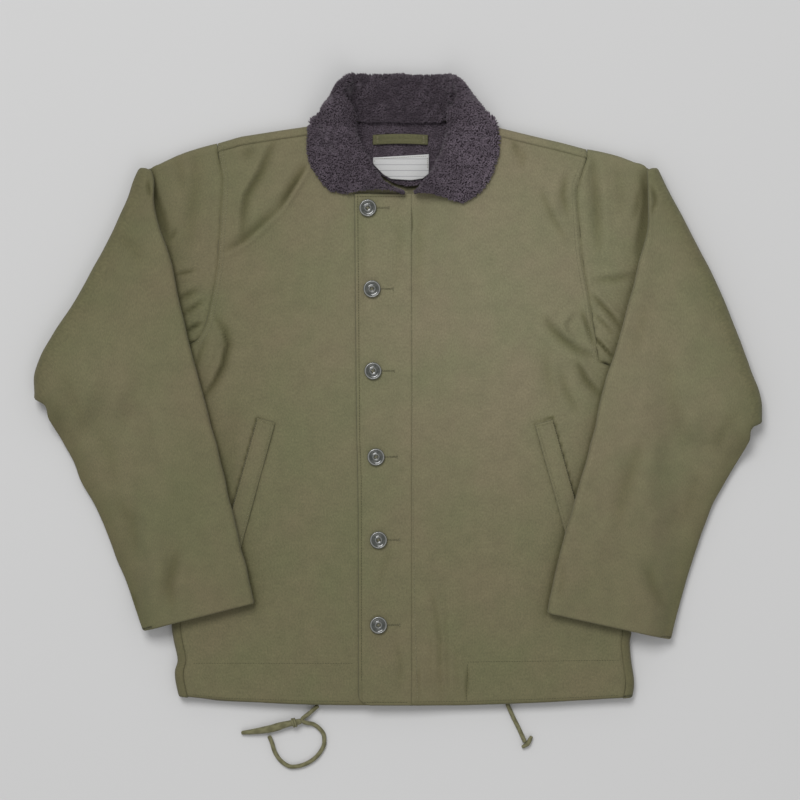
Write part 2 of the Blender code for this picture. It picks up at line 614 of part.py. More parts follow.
def flat_piece(name, outline, low, high, finish):
    """A flat outline with a thickness."""
    curve = bpy.data.curves.new(name, "CURVE")
    curve.dimensions = "2D"
    curve.fill_mode = "BOTH"
    curve.extrude = (high - low) / 2 * MM
    spline = curve.splines.new("POLY")
    spline.points.add(len(outline) - 1)
    for point, (x, y) in zip(spline.points, outline):
        point.co = (x * MM, y * MM, 0, 1)
    spline.use_cyclic_u = True
    made = bpy.data.objects.new(name, curve)
    made.location.z = (low + high) / 2 * MM
    bpy.context.scene.collection.objects.link(made)
    return place(made, name, finish)


def neck_pieces():
    lining = [(-72, 702.5), (-66, 698), (-63, 686), (-53, 668), (-41, 651), (-27, 637),
              (-12, 628), (5, 624), (22, 628), (34, 640), (45, 653), (56, 670), (62, 686),
              (64, 698), (70, 702.5)]
    flat_piece("neck_lining", lining[::-1], 7.3, LINING_TOP, "pile")
    low = LINING_TOP + SEAM_GAP
    label = [(-37.8, 658.8), (-38, 651.5), (-25.5, 638.5), (-16, 633), (8, 631.5), (22, 633.5),
             (29.8, 640), (29.4, 662.8)]
    flat_piece("label", label, low, low + 0.8, "label")
    rows = []
    for number in range(9):
        part = number / 8
        arch = math.sin(math.pi * part)
        x = lerp(-38.2, 28.2, part)
        y = 680.0 + 1.2 * arch
        z = low + 1.0 + 1.6 * arch
        rows.append([(x, y - 6.0, z), (x, y + 6.0, z)])
    shell("hanger_loop", rows, 1.0, "cloth", flip=True)


def button(number, x, y, drill):
    """A turned four-hole button with a raised rim and a hollow centre."""
    profile = [(0, 3.4), (3.4, 2.7), (7.4, 2.7), (8.6, 3.9), (9.8, 3.8),
               (BUTTON_RADIUS, 2.4), (9.2, 0), (0, 0)]
    mesh = bpy.data.meshes.new(f"button_{number}")
    count = len(profile)
    mesh.from_pydata([(r * MM, 0, z * MM) for r, z in profile],
                     [(n, n + 1) for n in range(count - 1)], [])
    made = bpy.data.objects.new(mesh.name, mesh)
    bpy.context.scene.collection.objects.link(made)
    turned = made.modifiers.new("turned", "SCREW")
    turned.steps = turned.render_steps = 14
    turned.use_merge_vertices = True
    turned.merge_threshold = 0.00001
    holes = made.modifiers.new("thread holes", "BOOLEAN")
    holes.object = drill
    base = max(front_top(min(x + dx, RIGHT_FRONT_EDGE), y + dy)
               for dx in (-10, 0, 10) for dy in (-10, 0, 10))
    place(made, mesh.name, "button")
    made.location = (x * MM, y * MM, (base + PLACKET_SEAT + PLACKET_DEPTH + BUTTON_SEAT) * MM)
    drill.location = made.location


def thread_holes(number):
    """Four small drills, joined as one cutter."""
    work = bmesh.new()
    for turn in range(4):
        angle = math.pi / 4 + turn * math.pi / 2
        made = bmesh.ops.create_cone(work, cap_ends=True, segments=6, radius1=0.9 * MM,
                                     radius2=0.9 * MM, depth=12 * MM)
        offset = Vector((2.0 * math.cos(angle), 2.0 * math.sin(angle), 2.0)) * MM
        bmesh.ops.translate(work, verts=made["verts"], vec=offset)
    mesh = bpy.data.meshes.new(f"thread_holes_{number}")
    work.to_mesh(mesh)
    work.free()
    cutter = bpy.data.objects.new(mesh.name, mesh)
    cutter.parent = bpy.data.objects["garment_frame"]
    cutter.hide_render = True
    cutter.display_type = "WIRE"
    bpy.data.collections["cutters"].objects.link(cutter)
    return cutter


def buttons():
    for number, (x, y) in enumerate(BUTTONS, start=1):
        button(number, x, y, thread_holes(number))


def cord(name, points, radii):
    """A cord along a smooth route, with its ends closed."""
    route = rounded_route(points, 6.0)
    curve = bpy.data.curves.new(name, "CURVE")
    curve.dimensions = "3D"
    curve.bevel_depth = MM
    curve.bevel_resolution = 2
    curve.use_fill_caps = True
    spline = curve.splines.new("POLY")
    spline.points.add(len(route) - 1)
    for index, (point, place_on) in enumerate(zip(spline.points, route)):
        point.co = (*(Vector(place_on) * MM), 1)
        share = index / (len(route) - 1) * (len(radii) - 1)
        low = min(int(share), len(radii) - 2)
        point.radius = lerp(radii[low], radii[low + 1], share - low)
    made = bpy.data.objects.new(name, curve)
    bpy.context.scene.collection.objects.link(made)
    return place(made, name, "cord")


def knot(name, centre, heading, inner, thickness):
    """A turn of cord round the cord."""
    bpy.ops.mesh.primitive_torus_add(major_radius=(inner + thickness) * MM,
                                     minor_radius=thickness * MM,
                                     major_segments=16, minor_segments=8)
    made = bpy.context.object
    made.location = Vector(centre) * MM
    made.rotation_euler = Vector(heading).to_track_quat("Z", "Y").to_euler()
    return place(made, name, "cord")


def cords():
    cord("drawcord_right", CORD_RIGHT, [CORD_RADIUS, CORD_RADIUS])
    cord("drawcord_left", CORD_LEFT, [CORD_RADIUS, CORD_RADIUS])
    cord("drawcord_right_tip", CORD_TIP, CORD_TIP_RADII)
    cord("drawcord_left_tail", CORD_TAIL, [2.4, 2.9, 2.4])
    heading = Vector(CORD_TIP[1]) - Vector(CORD_TIP[0])
    knot("drawcord_right_knot", CORD_KNOT, heading, CORD_TIP_RADII[1] + 0.5, 1.5)


def main():
    for made in list(bpy.data.objects):
        bpy.data.objects.remove(made)
    for name in ("deck_jacket", "cutters"):
        group = bpy.data.collections.new(name)
        bpy.context.scene.collection.children.link(group)
    frame = bpy.data.objects.new("garment_frame", None)
    frame.location = (FRAME_SHIFT[0] * MM, FRAME_SHIFT[1] * MM, 0)
    bpy.context.scene.collection.objects.link(frame)
    back()
    for name in ("right", "left"):
        front(name)
        sleeve(name)
        welt(name)
    placket()
    collar()
    neck_pieces()
    buttons()
    cords()


main()
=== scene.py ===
# %% [markdown]
# A deck jacket of olive cotton with a dark pile collar, laid flat and seen from above.
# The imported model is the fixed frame. Every cloth piece here is a thin shell on the form
# of its solid, with finer folds, hems, seams and stitches. Tables are in millimetres, in
# the garment's own frame: x from the centre front, y up from the hem, z up.

# %% Load the frame
import math

import bmesh
import bpy
import numpy as np
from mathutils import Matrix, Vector
from mathutils.bvhtree import BVHTree


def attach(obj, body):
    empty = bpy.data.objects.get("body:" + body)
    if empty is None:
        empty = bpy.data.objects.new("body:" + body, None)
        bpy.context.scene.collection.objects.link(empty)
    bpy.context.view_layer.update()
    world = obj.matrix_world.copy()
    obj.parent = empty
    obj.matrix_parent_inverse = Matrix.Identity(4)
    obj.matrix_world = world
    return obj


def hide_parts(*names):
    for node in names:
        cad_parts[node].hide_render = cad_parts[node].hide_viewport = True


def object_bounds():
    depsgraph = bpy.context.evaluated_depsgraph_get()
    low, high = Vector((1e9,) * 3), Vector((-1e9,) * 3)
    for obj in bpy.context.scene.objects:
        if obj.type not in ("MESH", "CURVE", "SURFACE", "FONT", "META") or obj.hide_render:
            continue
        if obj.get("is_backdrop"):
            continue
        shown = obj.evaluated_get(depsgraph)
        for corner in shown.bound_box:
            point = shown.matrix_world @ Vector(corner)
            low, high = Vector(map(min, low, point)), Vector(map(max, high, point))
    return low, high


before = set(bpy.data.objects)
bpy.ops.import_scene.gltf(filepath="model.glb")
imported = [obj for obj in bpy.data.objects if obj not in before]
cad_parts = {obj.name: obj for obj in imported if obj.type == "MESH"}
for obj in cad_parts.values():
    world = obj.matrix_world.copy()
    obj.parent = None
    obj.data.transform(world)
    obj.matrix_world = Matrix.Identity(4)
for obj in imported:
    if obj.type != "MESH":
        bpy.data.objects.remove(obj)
cad_box = [list(corner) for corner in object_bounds()]
MM = 0.001
SHIFT = np.array([7.85, -380.7, 0.0])      # from the garment's frame to the origin, mm
BODY = "root"
PIXEL = 1.2                                 # what a pixel of the photograph covers, mm
CENTRE_FRONT, HEM_LINE = 404.5, 706.0       # where x and y start in it, pixels


def deselect():
    bpy.ops.object.select_all(action="DESELECT")


def in_scene(name, data):
    """A new object of this mesh, lamp or camera."""
    made = bpy.data.objects.new(name, data)
    bpy.context.scene.collection.objects.link(made)
    return made


def spot(px, py):
    """A place read off the photograph in pixels, as garment x and y."""
    return (px - CENTRE_FRONT) * PIXEL, (HEM_LINE - py) * PIXEL


# %% [markdown]
# The photograph is taken straight from above with a long lens. A flat view without
# perspective would do as well, but a camera four metres up also shows the little that the
# raised collar comes nearer.

# %% Camera
CAMERA_HEIGHT = 4.0
CLOTH_HEIGHT = 0.02                         # where the picture's scale holds
PICTURE_WIDTH = 0.960                       # what 800 pixels cover at the cloth
SENSOR = 36.0
centre = (np.array([*spot(400, 400), 0.0]) + SHIFT) * MM
camera_data = bpy.data.cameras.new("camera")
camera_data.sensor_width = SENSOR
camera_data.lens = SENSOR * (CAMERA_HEIGHT - CLOTH_HEIGHT) / PICTURE_WIDTH
camera_data.clip_end = 50.0
camera = in_scene("camera", camera_data)
camera.location = (centre[0], centre[1], CAMERA_HEIGHT)
bpy.context.scene.camera = camera
bpy.context.scene.view_settings.view_transform = "Standard"
print("camera over", centre[:2], "lens", camera_data.lens)

# %% [markdown]
# A finish is a small node tree. These helpers add a node, join sockets and make the base
# shader, so that each finish below reads as a short list of what it is made of. The same
# trees could be drawn by hand in the shader editor.

# %% Helpers for finishes
def finish(name, roughness=0.8, sheen=0.0, specular=0.3):
    made = bpy.data.materials.new(name)
    made.use_nodes = True
    shader = made.node_tree.nodes["Principled BSDF"]
    shader.inputs["Roughness"].default_value = roughness
    shader.inputs["Sheen Weight"].default_value = sheen
    shader.inputs["Specular IOR Level"].default_value = specular
    return made, made.node_tree, shader


def node(tree, kind, links=(), **values):
    made = tree.nodes.new(kind)
    for key, value in values.items():
        if key in made.inputs.keys():
            made.inputs[key].default_value = value
        else:
            setattr(made, key, value)
    for name, socket in dict(links).items():
        tree.links.new(socket, made.inputs[name])
    return made


def feed(tree, socket, value):
    """Link a socket to another one, or set it to a number or a colour."""
    if isinstance(value, bpy.types.NodeSocket):
        tree.links.new(value, socket)
    else:
        socket.default_value = value


def mix(tree, factor, low, high, blend="MIX"):
    made = node(tree, "ShaderNodeMix", data_type="RGBA", blend_type=blend)
    for index, value in ((0, factor), (6, low), (7, high)):
        feed(tree, made.inputs[index], value)
    return made.outputs[2]


def combine(tree, operation, first, second):
    made = node(tree, "ShaderNodeMath", operation=operation)
    for socket, value in zip(made.inputs, (first, second)):
        feed(tree, socket, value)
    return made.outputs[0]


def ramp(tree, value, low, high, out_low=0.0, out_high=1.0):
    made = node(tree, "ShaderNodeMapRange", {"Value": value}, clamp=True)
    for index, number in ((1, low), (2, high), (3, out_low), (4, out_high)):
        made.inputs[index].default_value = number
    return made.outputs[0]


def noise(tree, where, scale, detail, roughness=0.5):
    return node(tree, "ShaderNodeTexNoise", {"Vector": where}, Scale=scale, Detail=detail,
                Roughness=roughness).outputs["Fac"]


def in_place(tree):
    """Where a point of the surface is, in metres."""
    return node(tree, "ShaderNodeTexCoord").outputs["Object"]


def on_panel(tree):
    """Where a point is on the flat piece, in metres."""
    return node(tree, "ShaderNodeUVMap", uv_map="panel").outputs[0]


def bands(pitch):
    """The scale at which a wave texture repeats after so many millimetres."""
    return math.tau / 20.0 / (pitch * MM)


def tones(tree, factor, low, high):
    """From one colour to another."""
    return mix(tree, factor, (*low, 1.0), (*high, 1.0))


def dress(tree, shader, colour, height=None, strength=0.5, distance=0.0004):
    """Give the shader its colour and, if there is one, its relief."""
    tree.links.new(colour, shader.inputs["Base Color"])
    if height is not None:
        bump = node(tree, "ShaderNodeBump", {"Height": height}, Strength=strength,
                    Distance=distance)
        tree.links.new(bump.outputs[0], shader.inputs["Normal"])


# %% [markdown]
# The shell is jungle cloth, a heavy cotton with fine cords. Seen close, the cords run up
# the panel about a millimetre apart, and from far they leave a fine grain. The dye is a
# little greener in some places and browner in others. Its own map follows each panel, and
# an attribute called shade paints light and shade into the colour: painted shade in the
# bottoms of folds, in the seams and along the edges, and painted light that is brightest on
# the chest and dimmer towards the hem, the sides and the cuffs. Where the painted shade is
# deeper the colour is also yellower, so the blue falls a little faster than the red and the
# green. A picture of real cloth would be quicker, but it would repeat, and could not follow
# the painted light and shade.

# %% Cloth
CORD_PITCH = 1.15
GRAIN_SCALE = (520.0, 360.0, 1.0)           # finer across the cords than along them
# How much faster the blue falls under painted shade: the shade to this power.
SHADE_BLUE_POWER = 0.4


def make_cloth(name, green, brown, grain=0.17):
    made, tree, shader = finish(name, roughness=0.78, sheen=0.06)
    panel, place = on_panel(tree), in_place(tree)
    cloud = noise(tree, place, 11.0, 5.0, 0.55)
    colour = tones(tree, ramp(tree, cloud, 0.34, 0.66), green, brown)
    fine = node(tree, "ShaderNodeMapping", {"Vector": panel}, Scale=GRAIN_SCALE)
    speck = noise(tree, fine.outputs[0], 1.0, 3.0, 0.7)
    blotch = noise(tree, place, 55.0, 4.0, 0.65)
    tone = combine(tree, "MULTIPLY", ramp(tree, speck, 0.3, 0.7, 1.0 - grain, 1.0 + grain),
                   ramp(tree, blotch, 0.3, 0.7, 0.93, 1.07))
    # Painted light and shade: the attribute shade darkens folds, seams and edges and is brightest
    # on the chest.
    shade = node(tree, "ShaderNodeAttribute", attribute_name="shade").outputs["Fac"]
    tone = combine(tree, "MULTIPLY", tone, shade)
    blue = combine(tree, "MULTIPLY", tone, combine(tree, "POWER", shade, SHADE_BLUE_POWER))
    light = node(tree, "ShaderNodeCombineColor", {"Red": tone, "Green": tone, "Blue": blue})
    colour = mix(tree, 1.0, colour, light.outputs[0], "MULTIPLY")
    cords = node(tree, "ShaderNodeTexWave", {"Vector": panel}, Scale=bands(CORD_PITCH),
                 Distortion=0.6, Detail=1.0).outputs["Fac"]
    dress(tree, shader, colour, combine(tree, "ADD", cords, speck), 0.35)
    return made


cloth = make_cloth("olive jungle cloth", (0.174, 0.170, 0.096), (0.196, 0.171, 0.106))
tape = make_cloth("olive tape", (0.098, 0.097, 0.046), (0.108, 0.103, 0.052), 0.2)

# %% [markdown]
# The thread is olive too. Where it stands on the cloth it catches the light. Where it is
# drawn in, at the hem, along the placket and at the pockets' mouths, a second, darker
# finish paints the shade it lies in. Two finishes are simpler than one that knows how deep
# each stitch lies.

# %% Thread
def make_thread(name, roughness, low, high):
    made, tree, shader = finish(name, roughness=roughness)
    twist = noise(tree, in_place(tree), 900.0, 2.0)
    dress(tree, shader, tones(tree, ramp(tree, twist, 0.35, 0.65), low, high))
    return made


thread = make_thread("olive thread", 0.6, (0.110, 0.104, 0.058), (0.235, 0.218, 0.138))
# Painted shade: a darker copy of the thread, for stitches drawn into the cloth and at the pockets'
# mouths.
shaded_thread = make_thread("thread in painted shade", 0.7, (0.036, 0.034, 0.016), (0.082, 0.076, 0.040))

# %% [markdown]
# The pile is a dense curly fleece. Each tuft carries its own map: across, a number of its
# own that makes one tuft lighter than the next, together with painted light that makes the
# fallen leaves paler than the standing collar and the left leaf palest; and up, how far it
# is from the root, so that painted shade keeps the roots dark and the tips pale. Hair
# particles would look alike, but the exported model can't hold them. Between the tufts a
# knitted backing shows.

# %% Pile and its backing
PILE_ROOT = (0.050, 0.039, 0.049)
pile, tree, shader = finish("aubergine pile", roughness=0.92, sheen=0.12, specular=0.15)
parts = node(tree, "ShaderNodeSeparateXYZ", {"Vector": on_panel(tree)})
# The tip's tone comes from the tuft's own number, which carries painted light by place.
tip = tones(tree, parts.outputs[0], (0.054, 0.042, 0.053), (0.205, 0.166, 0.204))
# Painted shade: darker from the tip down to the root.
dress(tree, shader, mix(tree, ramp(tree, parts.outputs[1], 0.0, 1.0), (*PILE_ROOT, 1.0), tip))
backing, tree, shader = finish("pile backing", roughness=0.95, specular=0.1)
knit = noise(tree, in_place(tree), 380.0, 3.0)
dress(tree, shader, tones(tree, ramp(tree, knit, 0.35, 0.65), PILE_ROOT, (0.080, 0.065, 0.079)),
      knit, 0.8, 0.001)

# %% [markdown]
# The drawcord is braided cotton. Two slanting waves cross on its own map, and the higher
# of the two at each place is the strand on top, which is enough at five millimetres thick.
# The colour is darker where the strands lie lower, as painted shade between them.

# %% Cord finish
braid, tree, shader = finish("braided cord", roughness=0.8, sheen=0.08)
strands = []
for lean in (0.6, -0.6):
    leaning = node(tree, "ShaderNodeMapping", {"Vector": on_panel(tree)}, Rotation=(0.0, 0.0, lean))
    strands.append(node(tree, "ShaderNodeTexWave", {"Vector": leaning.outputs[0]}, Scale=34.0,
                        Distortion=0.2).outputs["Fac"])
plait = combine(tree, "MAXIMUM", *strands)
# Painted shade: darker where the strands lie lower.
dress(tree, shader, tones(tree, ramp(tree, plait, 0.3, 1.0), (0.112, 0.106, 0.052),
                          (0.160, 0.152, 0.080)), plait)

# %% [markdown]
# Every swept or lofted piece is a grid of points. Between the rows and columns that the
# tables give, a cubic curve fills in more, so the surface is smooth at any closeness. A
# Subdivision Surface modifier would pull the surface off the points, and this doesn't.

# %% Curves
def ease(value):
    value = np.clip(value, 0.0, 1.0)
    return value * value * (3.0 - 2.0 * value)


def bell(distance, width):
    """1 at no distance, falling softly to nothing beyond about two widths."""
    return np.exp(-(distance / width) ** 2)


def read(table, key):
    """The second column of a table at values of its first."""
    columns = np.array(table, float).T
    return np.interp(key, columns[0], columns[1])


def cubic(knots, values, places):
    """A smooth curve through the values, read at places between the knots. Its slope is
    held back where the values turn, so that it never swings past them."""
    gaps = np.diff(knots)
    shape = (-1,) + (1,) * (values.ndim - 1)
    slopes = np.diff(values, axis=0) / gaps.reshape(shape)
    before, after = gaps[:-1].reshape(shape), gaps[1:].reshape(shape)
    ends = np.empty_like(values)
    ends[1:-1] = (slopes[:-1] * after + slopes[1:] * before) / (before + after)
    most = 3.0 * np.minimum(np.abs(slopes[:-1]), np.abs(slopes[1:]))
    ends[1:-1] = np.where(slopes[:-1] * slopes[1:] > 0, np.clip(ends[1:-1], -most, most), 0.0)
    ends[0], ends[-1] = slopes[0], slopes[-1]
    cell = np.clip(np.searchsorted(knots, places, side="right") - 1, 0, len(gaps) - 1)
    gap = gaps[cell].reshape(shape)
    t = (places - knots[cell]).reshape(shape) / gap
    return ((2 * t**3 - 3 * t**2 + 1) * values[cell] + (t**3 - 2 * t**2 + t) * gap * ends[cell]
            + (3 * t**2 - 2 * t**3) * values[cell + 1] + (t**3 - t**2) * gap * ends[cell + 1])


def finer(grid, step, axis, closed=False, near_end=0, near_start=0):
    """Fill in a grid along its rows (axis 0) or columns (axis 1), about one point a step.
    The last or first few gaps are halved again where an edge needs to be crisp."""
    points = np.moveaxis(np.asarray(grid, float), axis, 0)
    if closed:
        points = np.concatenate([points[-2:], points, points[:3]])
    gaps = np.linalg.norm(np.diff(points, axis=0), axis=-1).mean(axis=1)
    knots = np.concatenate([[0.0], np.cumsum(np.maximum(gaps, 0.05))])
    first, last = (2, len(points) - 3) if closed else (0, len(points) - 1)
    places = [np.linspace(knots[i], knots[i + 1], max(1, round(gaps[i] / step)), endpoint=False)
              for i in range(first, last)]
    places = np.concatenate(places + [[knots[last]]])
    if closed:
        places = places[:-1]
    for count, from_end in ((near_end, True), (near_start, False)):
        if count:
            edge = places[-count - 1:] if from_end else places[:count + 1]
            places = np.sort(np.concatenate([places, (edge[1:] + edge[:-1]) / 2]))
    return np.moveaxis(cubic(knots, points, places), 0, axis)


def route_through(points, step):
    """A smooth line of points about a step apart."""
    return finer(np.array(points, float)[:, None, :], step, 0)[:, 0, :]


def normals_of(grid, closed=False):
    """Unit normals of a grid, along its columns crossed with its rows."""
    if closed:
        across = np.roll(grid, -1, axis=1) - np.roll(grid, 1, axis=1)
    else:
        across = np.gradient(grid, axis=1)
    normal = np.cross(across, np.gradient(grid, axis=0))
    return normal / np.maximum(np.linalg.norm(normal, axis=-1, keepdims=True), 1e-9)


def turn_in(grid, radius, depth, side=1.0, closed=False, steps=6):
    """Roll the last row of a cloth over a round edge and carry it back inside."""
    normal = side * normals_of(grid, closed)[-1]
    onward = grid[-1] - grid[-4]
    onward -= (onward * normal).sum(axis=-1, keepdims=True) * normal
    onward /= np.linalg.norm(onward, axis=-1, keepdims=True)
    edge = grid[-1] - onward * radius
    keep = np.linalg.norm(grid - grid[-1], axis=-1).mean(axis=1) > radius * 1.2
    rows = [grid[keep]]
    for angle in np.linspace(0, math.pi, steps + 1):
        rows.append((edge + onward * radius * math.sin(angle)
                     - normal * radius * (1 - math.cos(angle)))[None])
    for back in (0.25, 0.6, 1.0):
        rows.append((edge - onward * depth * back - normal * 2 * radius)[None])
    return np.concatenate(rows)


def painted_light_falloff(x, y):
    """Painted light: brightest on the chest, a little brighter on the upper arms, dimmer elsewhere.
    """
    chest = np.exp(-((x - 110.0) / 260.0) ** 2 - ((y - 540.0) / 330.0) ** 2)
    arms = np.exp(-((np.abs(x) - 335.0) / 75.0) ** 2 - ((y - 360.0) / 110.0) ** 2)
    return 0.68 + 0.31 * chest + 0.08 * arms


def build(name, grid, material, thickness=0.0, closed=False, flip=False, shade=None):
    """A mesh from a grid of points in millimetres, with its panel map and its shade."""
    rows, columns = grid.shape[:2]
    mesh = bpy.data.meshes.new(name)
    points = (grid.reshape(-1, 3) + SHIFT) * MM
    wide = columns if closed else columns - 1
    i, j = np.meshgrid(np.arange(rows - 1), np.arange(wide), indexing="ij")
    i, j = i.ravel(), j.ravel()
    k = (j + 1) % columns
    faces = np.stack([i * columns + j, i * columns + k, (i + 1) * columns + k,
                      (i + 1) * columns + j], axis=1)
    around = np.linalg.norm(np.diff(np.concatenate([grid, grid[:, :1]], axis=1), axis=1), axis=-1)
    across = np.concatenate([[0.0], np.cumsum(around.mean(axis=0))]) * MM
    down = np.linalg.norm(np.diff(grid, axis=0), axis=-1).mean(axis=1)
    down = np.concatenate([[0.0], np.cumsum(down)]) * MM
    corner_u = np.stack([across[j], across[j + 1], across[j + 1], across[j]], axis=1)
    corner_v = np.stack([down[i], down[i], down[i + 1], down[i + 1]], axis=1)
    if flip:
        faces, corner_u, corner_v = faces[:, ::-1], corner_u[:, ::-1], corner_v[:, ::-1]
    mesh.from_pydata(points.tolist(), [], faces.tolist())
    layer = mesh.uv_layers.new(name="panel")
    layer.data.foreach_set("uv", np.stack([corner_u.ravel(), corner_v.ravel()], axis=1).ravel())
    # The attribute shade is painted light and shade: the piece's own painted shade, if any, times
    # the painted light that is brightest on the chest.
    values = np.ones(rows * columns) if shade is None else shade.reshape(-1)
    values = values * painted_light_falloff(grid[..., 0], grid[..., 1]).reshape(-1)
    attribute = mesh.attributes.new("shade", "FLOAT", "POINT")
    attribute.data.foreach_set("value", values.astype(np.float32))
    mesh.materials.append(material)
    mesh.shade_smooth()
    made = in_scene(name, mesh)
    if thickness:
        wall = made.modifiers.new("wall", "SOLIDIFY")
        wall.thickness = thickness * MM
        wall.offset = -1.0
        apply_all(made)
        for vertex in made.data.vertices:
            vertex.co.z = max(vertex.co.z, 0.0)
    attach(made, BODY)
    print(f"{name}: {len(made.data.polygons)} faces")
    return made


def apply_all(made):
    deselect()
    made.select_set(True)
    bpy.context.view_layer.objects.active = made
    for modifier in list(made.modifiers):
        bpy.ops.object.modifier_apply(modifier=modifier.name)


# %% [markdown]
# Cords and threads are round tubes along a smooth line, with round ends. A curve with a
# bevel would do too, but a grid gets its map and its shade the way the cloth does.

# %% Round lines
def tube(name, points, radii, material, sides=12):
    """A round tube along a line, closed at both ends, with a map round and along it."""
    points = np.asarray(points, float)
    radii = np.broadcast_to(np.asarray(radii, float), len(points))
    heading = np.gradient(points, axis=0)
    heading /= np.linalg.norm(heading, axis=1, keepdims=True)
    side = np.cross(heading, [0.0, 0.0, 1.0])
    weak = np.linalg.norm(side, axis=1) < 0.05
    side[weak] = np.cross(heading[weak], [0.0, 1.0, 0.0])
    side /= np.linalg.norm(side, axis=1, keepdims=True)
    up = np.cross(side, heading)
    angles = np.linspace(0, 2 * math.pi, sides, endpoint=False)[None, :, None]
    rings = points[:, None] + radii[:, None, None] * (np.cos(angles) * side[:, None]
                                                      + np.sin(angles) * up[:, None])
    ends = []
    for index, sign in ((0, -1), (-1, 1)):
        for share in (0.35, 0.75, 0.97) if sign > 0 else (0.97, 0.75, 0.35):
            ring = points[index] + (rings[index] - points[index]) * math.sqrt(1 - share**2)
            ends.append(ring + heading[index] * sign * radii[index] * share * 0.8)
    rings = np.concatenate([np.array(ends[:3]), rings, np.array(ends[3:])])
    made = build(name, rings, material, closed=True, flip=True)
    work = bmesh.new()
    work.from_mesh(made.data)
    bmesh.ops.holes_fill(work, edges=[edge for edge in work.edges if edge.is_boundary])
    work.to_mesh(made.data)
    work.free()
    return made


# %% [markdown]
# Two cord ends hang out of the hem. They are round braided cotton, about five millimetres
# thick. Their routes repeat the solids' routes, because the model's reach depends on them.

# %% Drawcords
CORD_RIGHT = [(-105.2, -2.0, 4.0), (-114.0, -9.5, 5.2), (-123.6, -18.4, 6.6), (-118.6, -21.6, 5.4),
              (-111.5, -22.8, 3.6), (-103.5, -27.8, 2.7), (-97.2, -36.6, 2.7), (-96.6, -45.0, 2.7),
              (-102.8, -58.8, 2.7), (-117.9, -70.8, 2.7), (-135.4, -74.8, 2.7),
              (-148.1, -68.4, 2.7), (-156.1, -57.2, 2.7), (-160.2, -44.5, 3.4),
              (-162.6, -39.0, 3.4)]
CORD_LEFT = [(124.2, 0.3, 4.2), (130.5, -14.0, 3.2), (137.9, -29.0, 2.7), (144.6, -43.8, 3.6)]
CORD_TIP = [(-126.3, -19.9, 7.6), (-134.0, -21.4, 7.6), (-145.0, -24.0, 6.0), (-158.0, -28.0, 5.0),
            (-176.0, -31.5, 4.2), (-195.0, -33.8, 3.0)]
CORD_TIP_RADII = [3.6, 3.8, 4.8, 4.4, 3.4, 2.4]
CORD_TAIL = [(142.9, -50.6, 3.2), (147.6, -47.6, 3.6), (152.6, -39.2, 3.2)]
CORD_TAIL_RADII = [2.2, 2.9, 2.2]
CORD_RADIUS = 2.55
KNOT_START, KNOT_NEXT = Vector((-131.0, -20.8, 7.6)), Vector((-2.6, -0.5, 0.0))
KNOT_RADIUS, KNOT_CORD, KNOT_RISE = 4.6, 1.35, 1.1


def length_of(points):
    return float(np.linalg.norm(np.diff(points, axis=0), axis=1).sum())


def free_cord(name, table, radii, solid):
    line = route_through(table, 2.0)
    spread = np.interp(np.linspace(0, 1, len(line)), np.linspace(0, 1, len(radii)), radii)
    made = tube(name, line, spread, braid, sides=16)
    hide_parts(solid)
    return made, (line + SHIFT) * MM


right_tip, _ = free_cord("cord_right_tip", CORD_TIP, CORD_TIP_RADII, "drawcord_right_tip")
left_tail, _ = free_cord("cord_left_tail", CORD_TAIL, CORD_TAIL_RADII, "drawcord_left_tail")
right_cord, right_path = free_cord("cord_right", CORD_RIGHT, [CORD_RADIUS] * 2, "drawcord_right")
left_cord, left_path = free_cord("cord_left", CORD_LEFT, [CORD_RADIUS] * 2, "drawcord_left")
for number in range(2):
    angles = np.linspace(0, 2 * math.pi, 25)
    heading = Vector(CORD_TIP[1]) - Vector(CORD_TIP[0])
    turned = heading.to_track_quat("Z", "Y").to_matrix()
    middle = KNOT_START + KNOT_NEXT * number
    line = [np.array(middle + turned @ Vector((KNOT_RADIUS * math.cos(a), KNOT_RADIUS * math.sin(a),
                                               KNOT_RISE * math.sin(a / 2)))) for a in angles]
    tube(f"cord_right_knot_{number + 1}", line, KNOT_CORD, braid, sides=10)
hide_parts("drawcord_right_knot")
print("cord lengths in m:", length_of(right_path), length_of(left_path))

# %% [markdown]
# Cloth that lies flat still has folds: long soft ones where the shoulders and sleeves pull,
# short sharp ones under the arms. Each is written down as a line on the photograph, how
# wide and how high it is, and how much shade is painted in its bottom. A negative height
# is a trough.

# %% Tables of the body
BODY_DEPTH, ROLL, SEAM_INSET, SEAM_LAP, CLOTH = 16.0, 8.0, 11.0, 0.4, 1.2
SIDE = {
    "right": [(10.1, -271.6), (40, -276.6), (55, -273.5), (76, -277.4), (97, -280.4),
              (180, -278.0), (300, -274.0), (420.5, -272.0)],
    "left": [(9.0, 274.2), (28, 276.2), (56, 273.0), (76, 271.2), (86, 273.0),
             (200, 273.0), (300, 272.5), (391, 272.0)],
}
ARMHOLE = {
    "right": [(420.5, -260.7), (427, -259.4), (433.2, -257.9), (437.5, -250.3), (457.2, -238.6),
              (484.8, -232.2), (521, -225.7), (574.8, -221.4), (632.4, -218.2),
              (664.6, -224.2), (676, -224.6)],
    "left": [(391, 260.4), (399.5, 258.6), (404.1, 254.0), (408.4, 245.2), (412.3, 234.2),
             (436.2, 229.3), (492, 221.4), (535.7, 213.4), (596.4, 208.1), (619.2, 207.0),
             (656.7, 218.4), (669, 219.0)],
}
HEM = [(-271.6, 10.1), (-215, 4.1), (-115, 0.6), (-45, 0), (68, 0), (165.7, 3.0),
       (253.3, 7.2), (274.2, 9.0)]
SHOULDER = [(-224.6, 676), (-197.4, 684), (-150, 691.5), (-115.8, 696.5), (-82, 706), (-78, 708),
            (76, 708), (80, 705.5), (114, 694.8), (150, 686), (190, 676.5), (219, 668.7)]
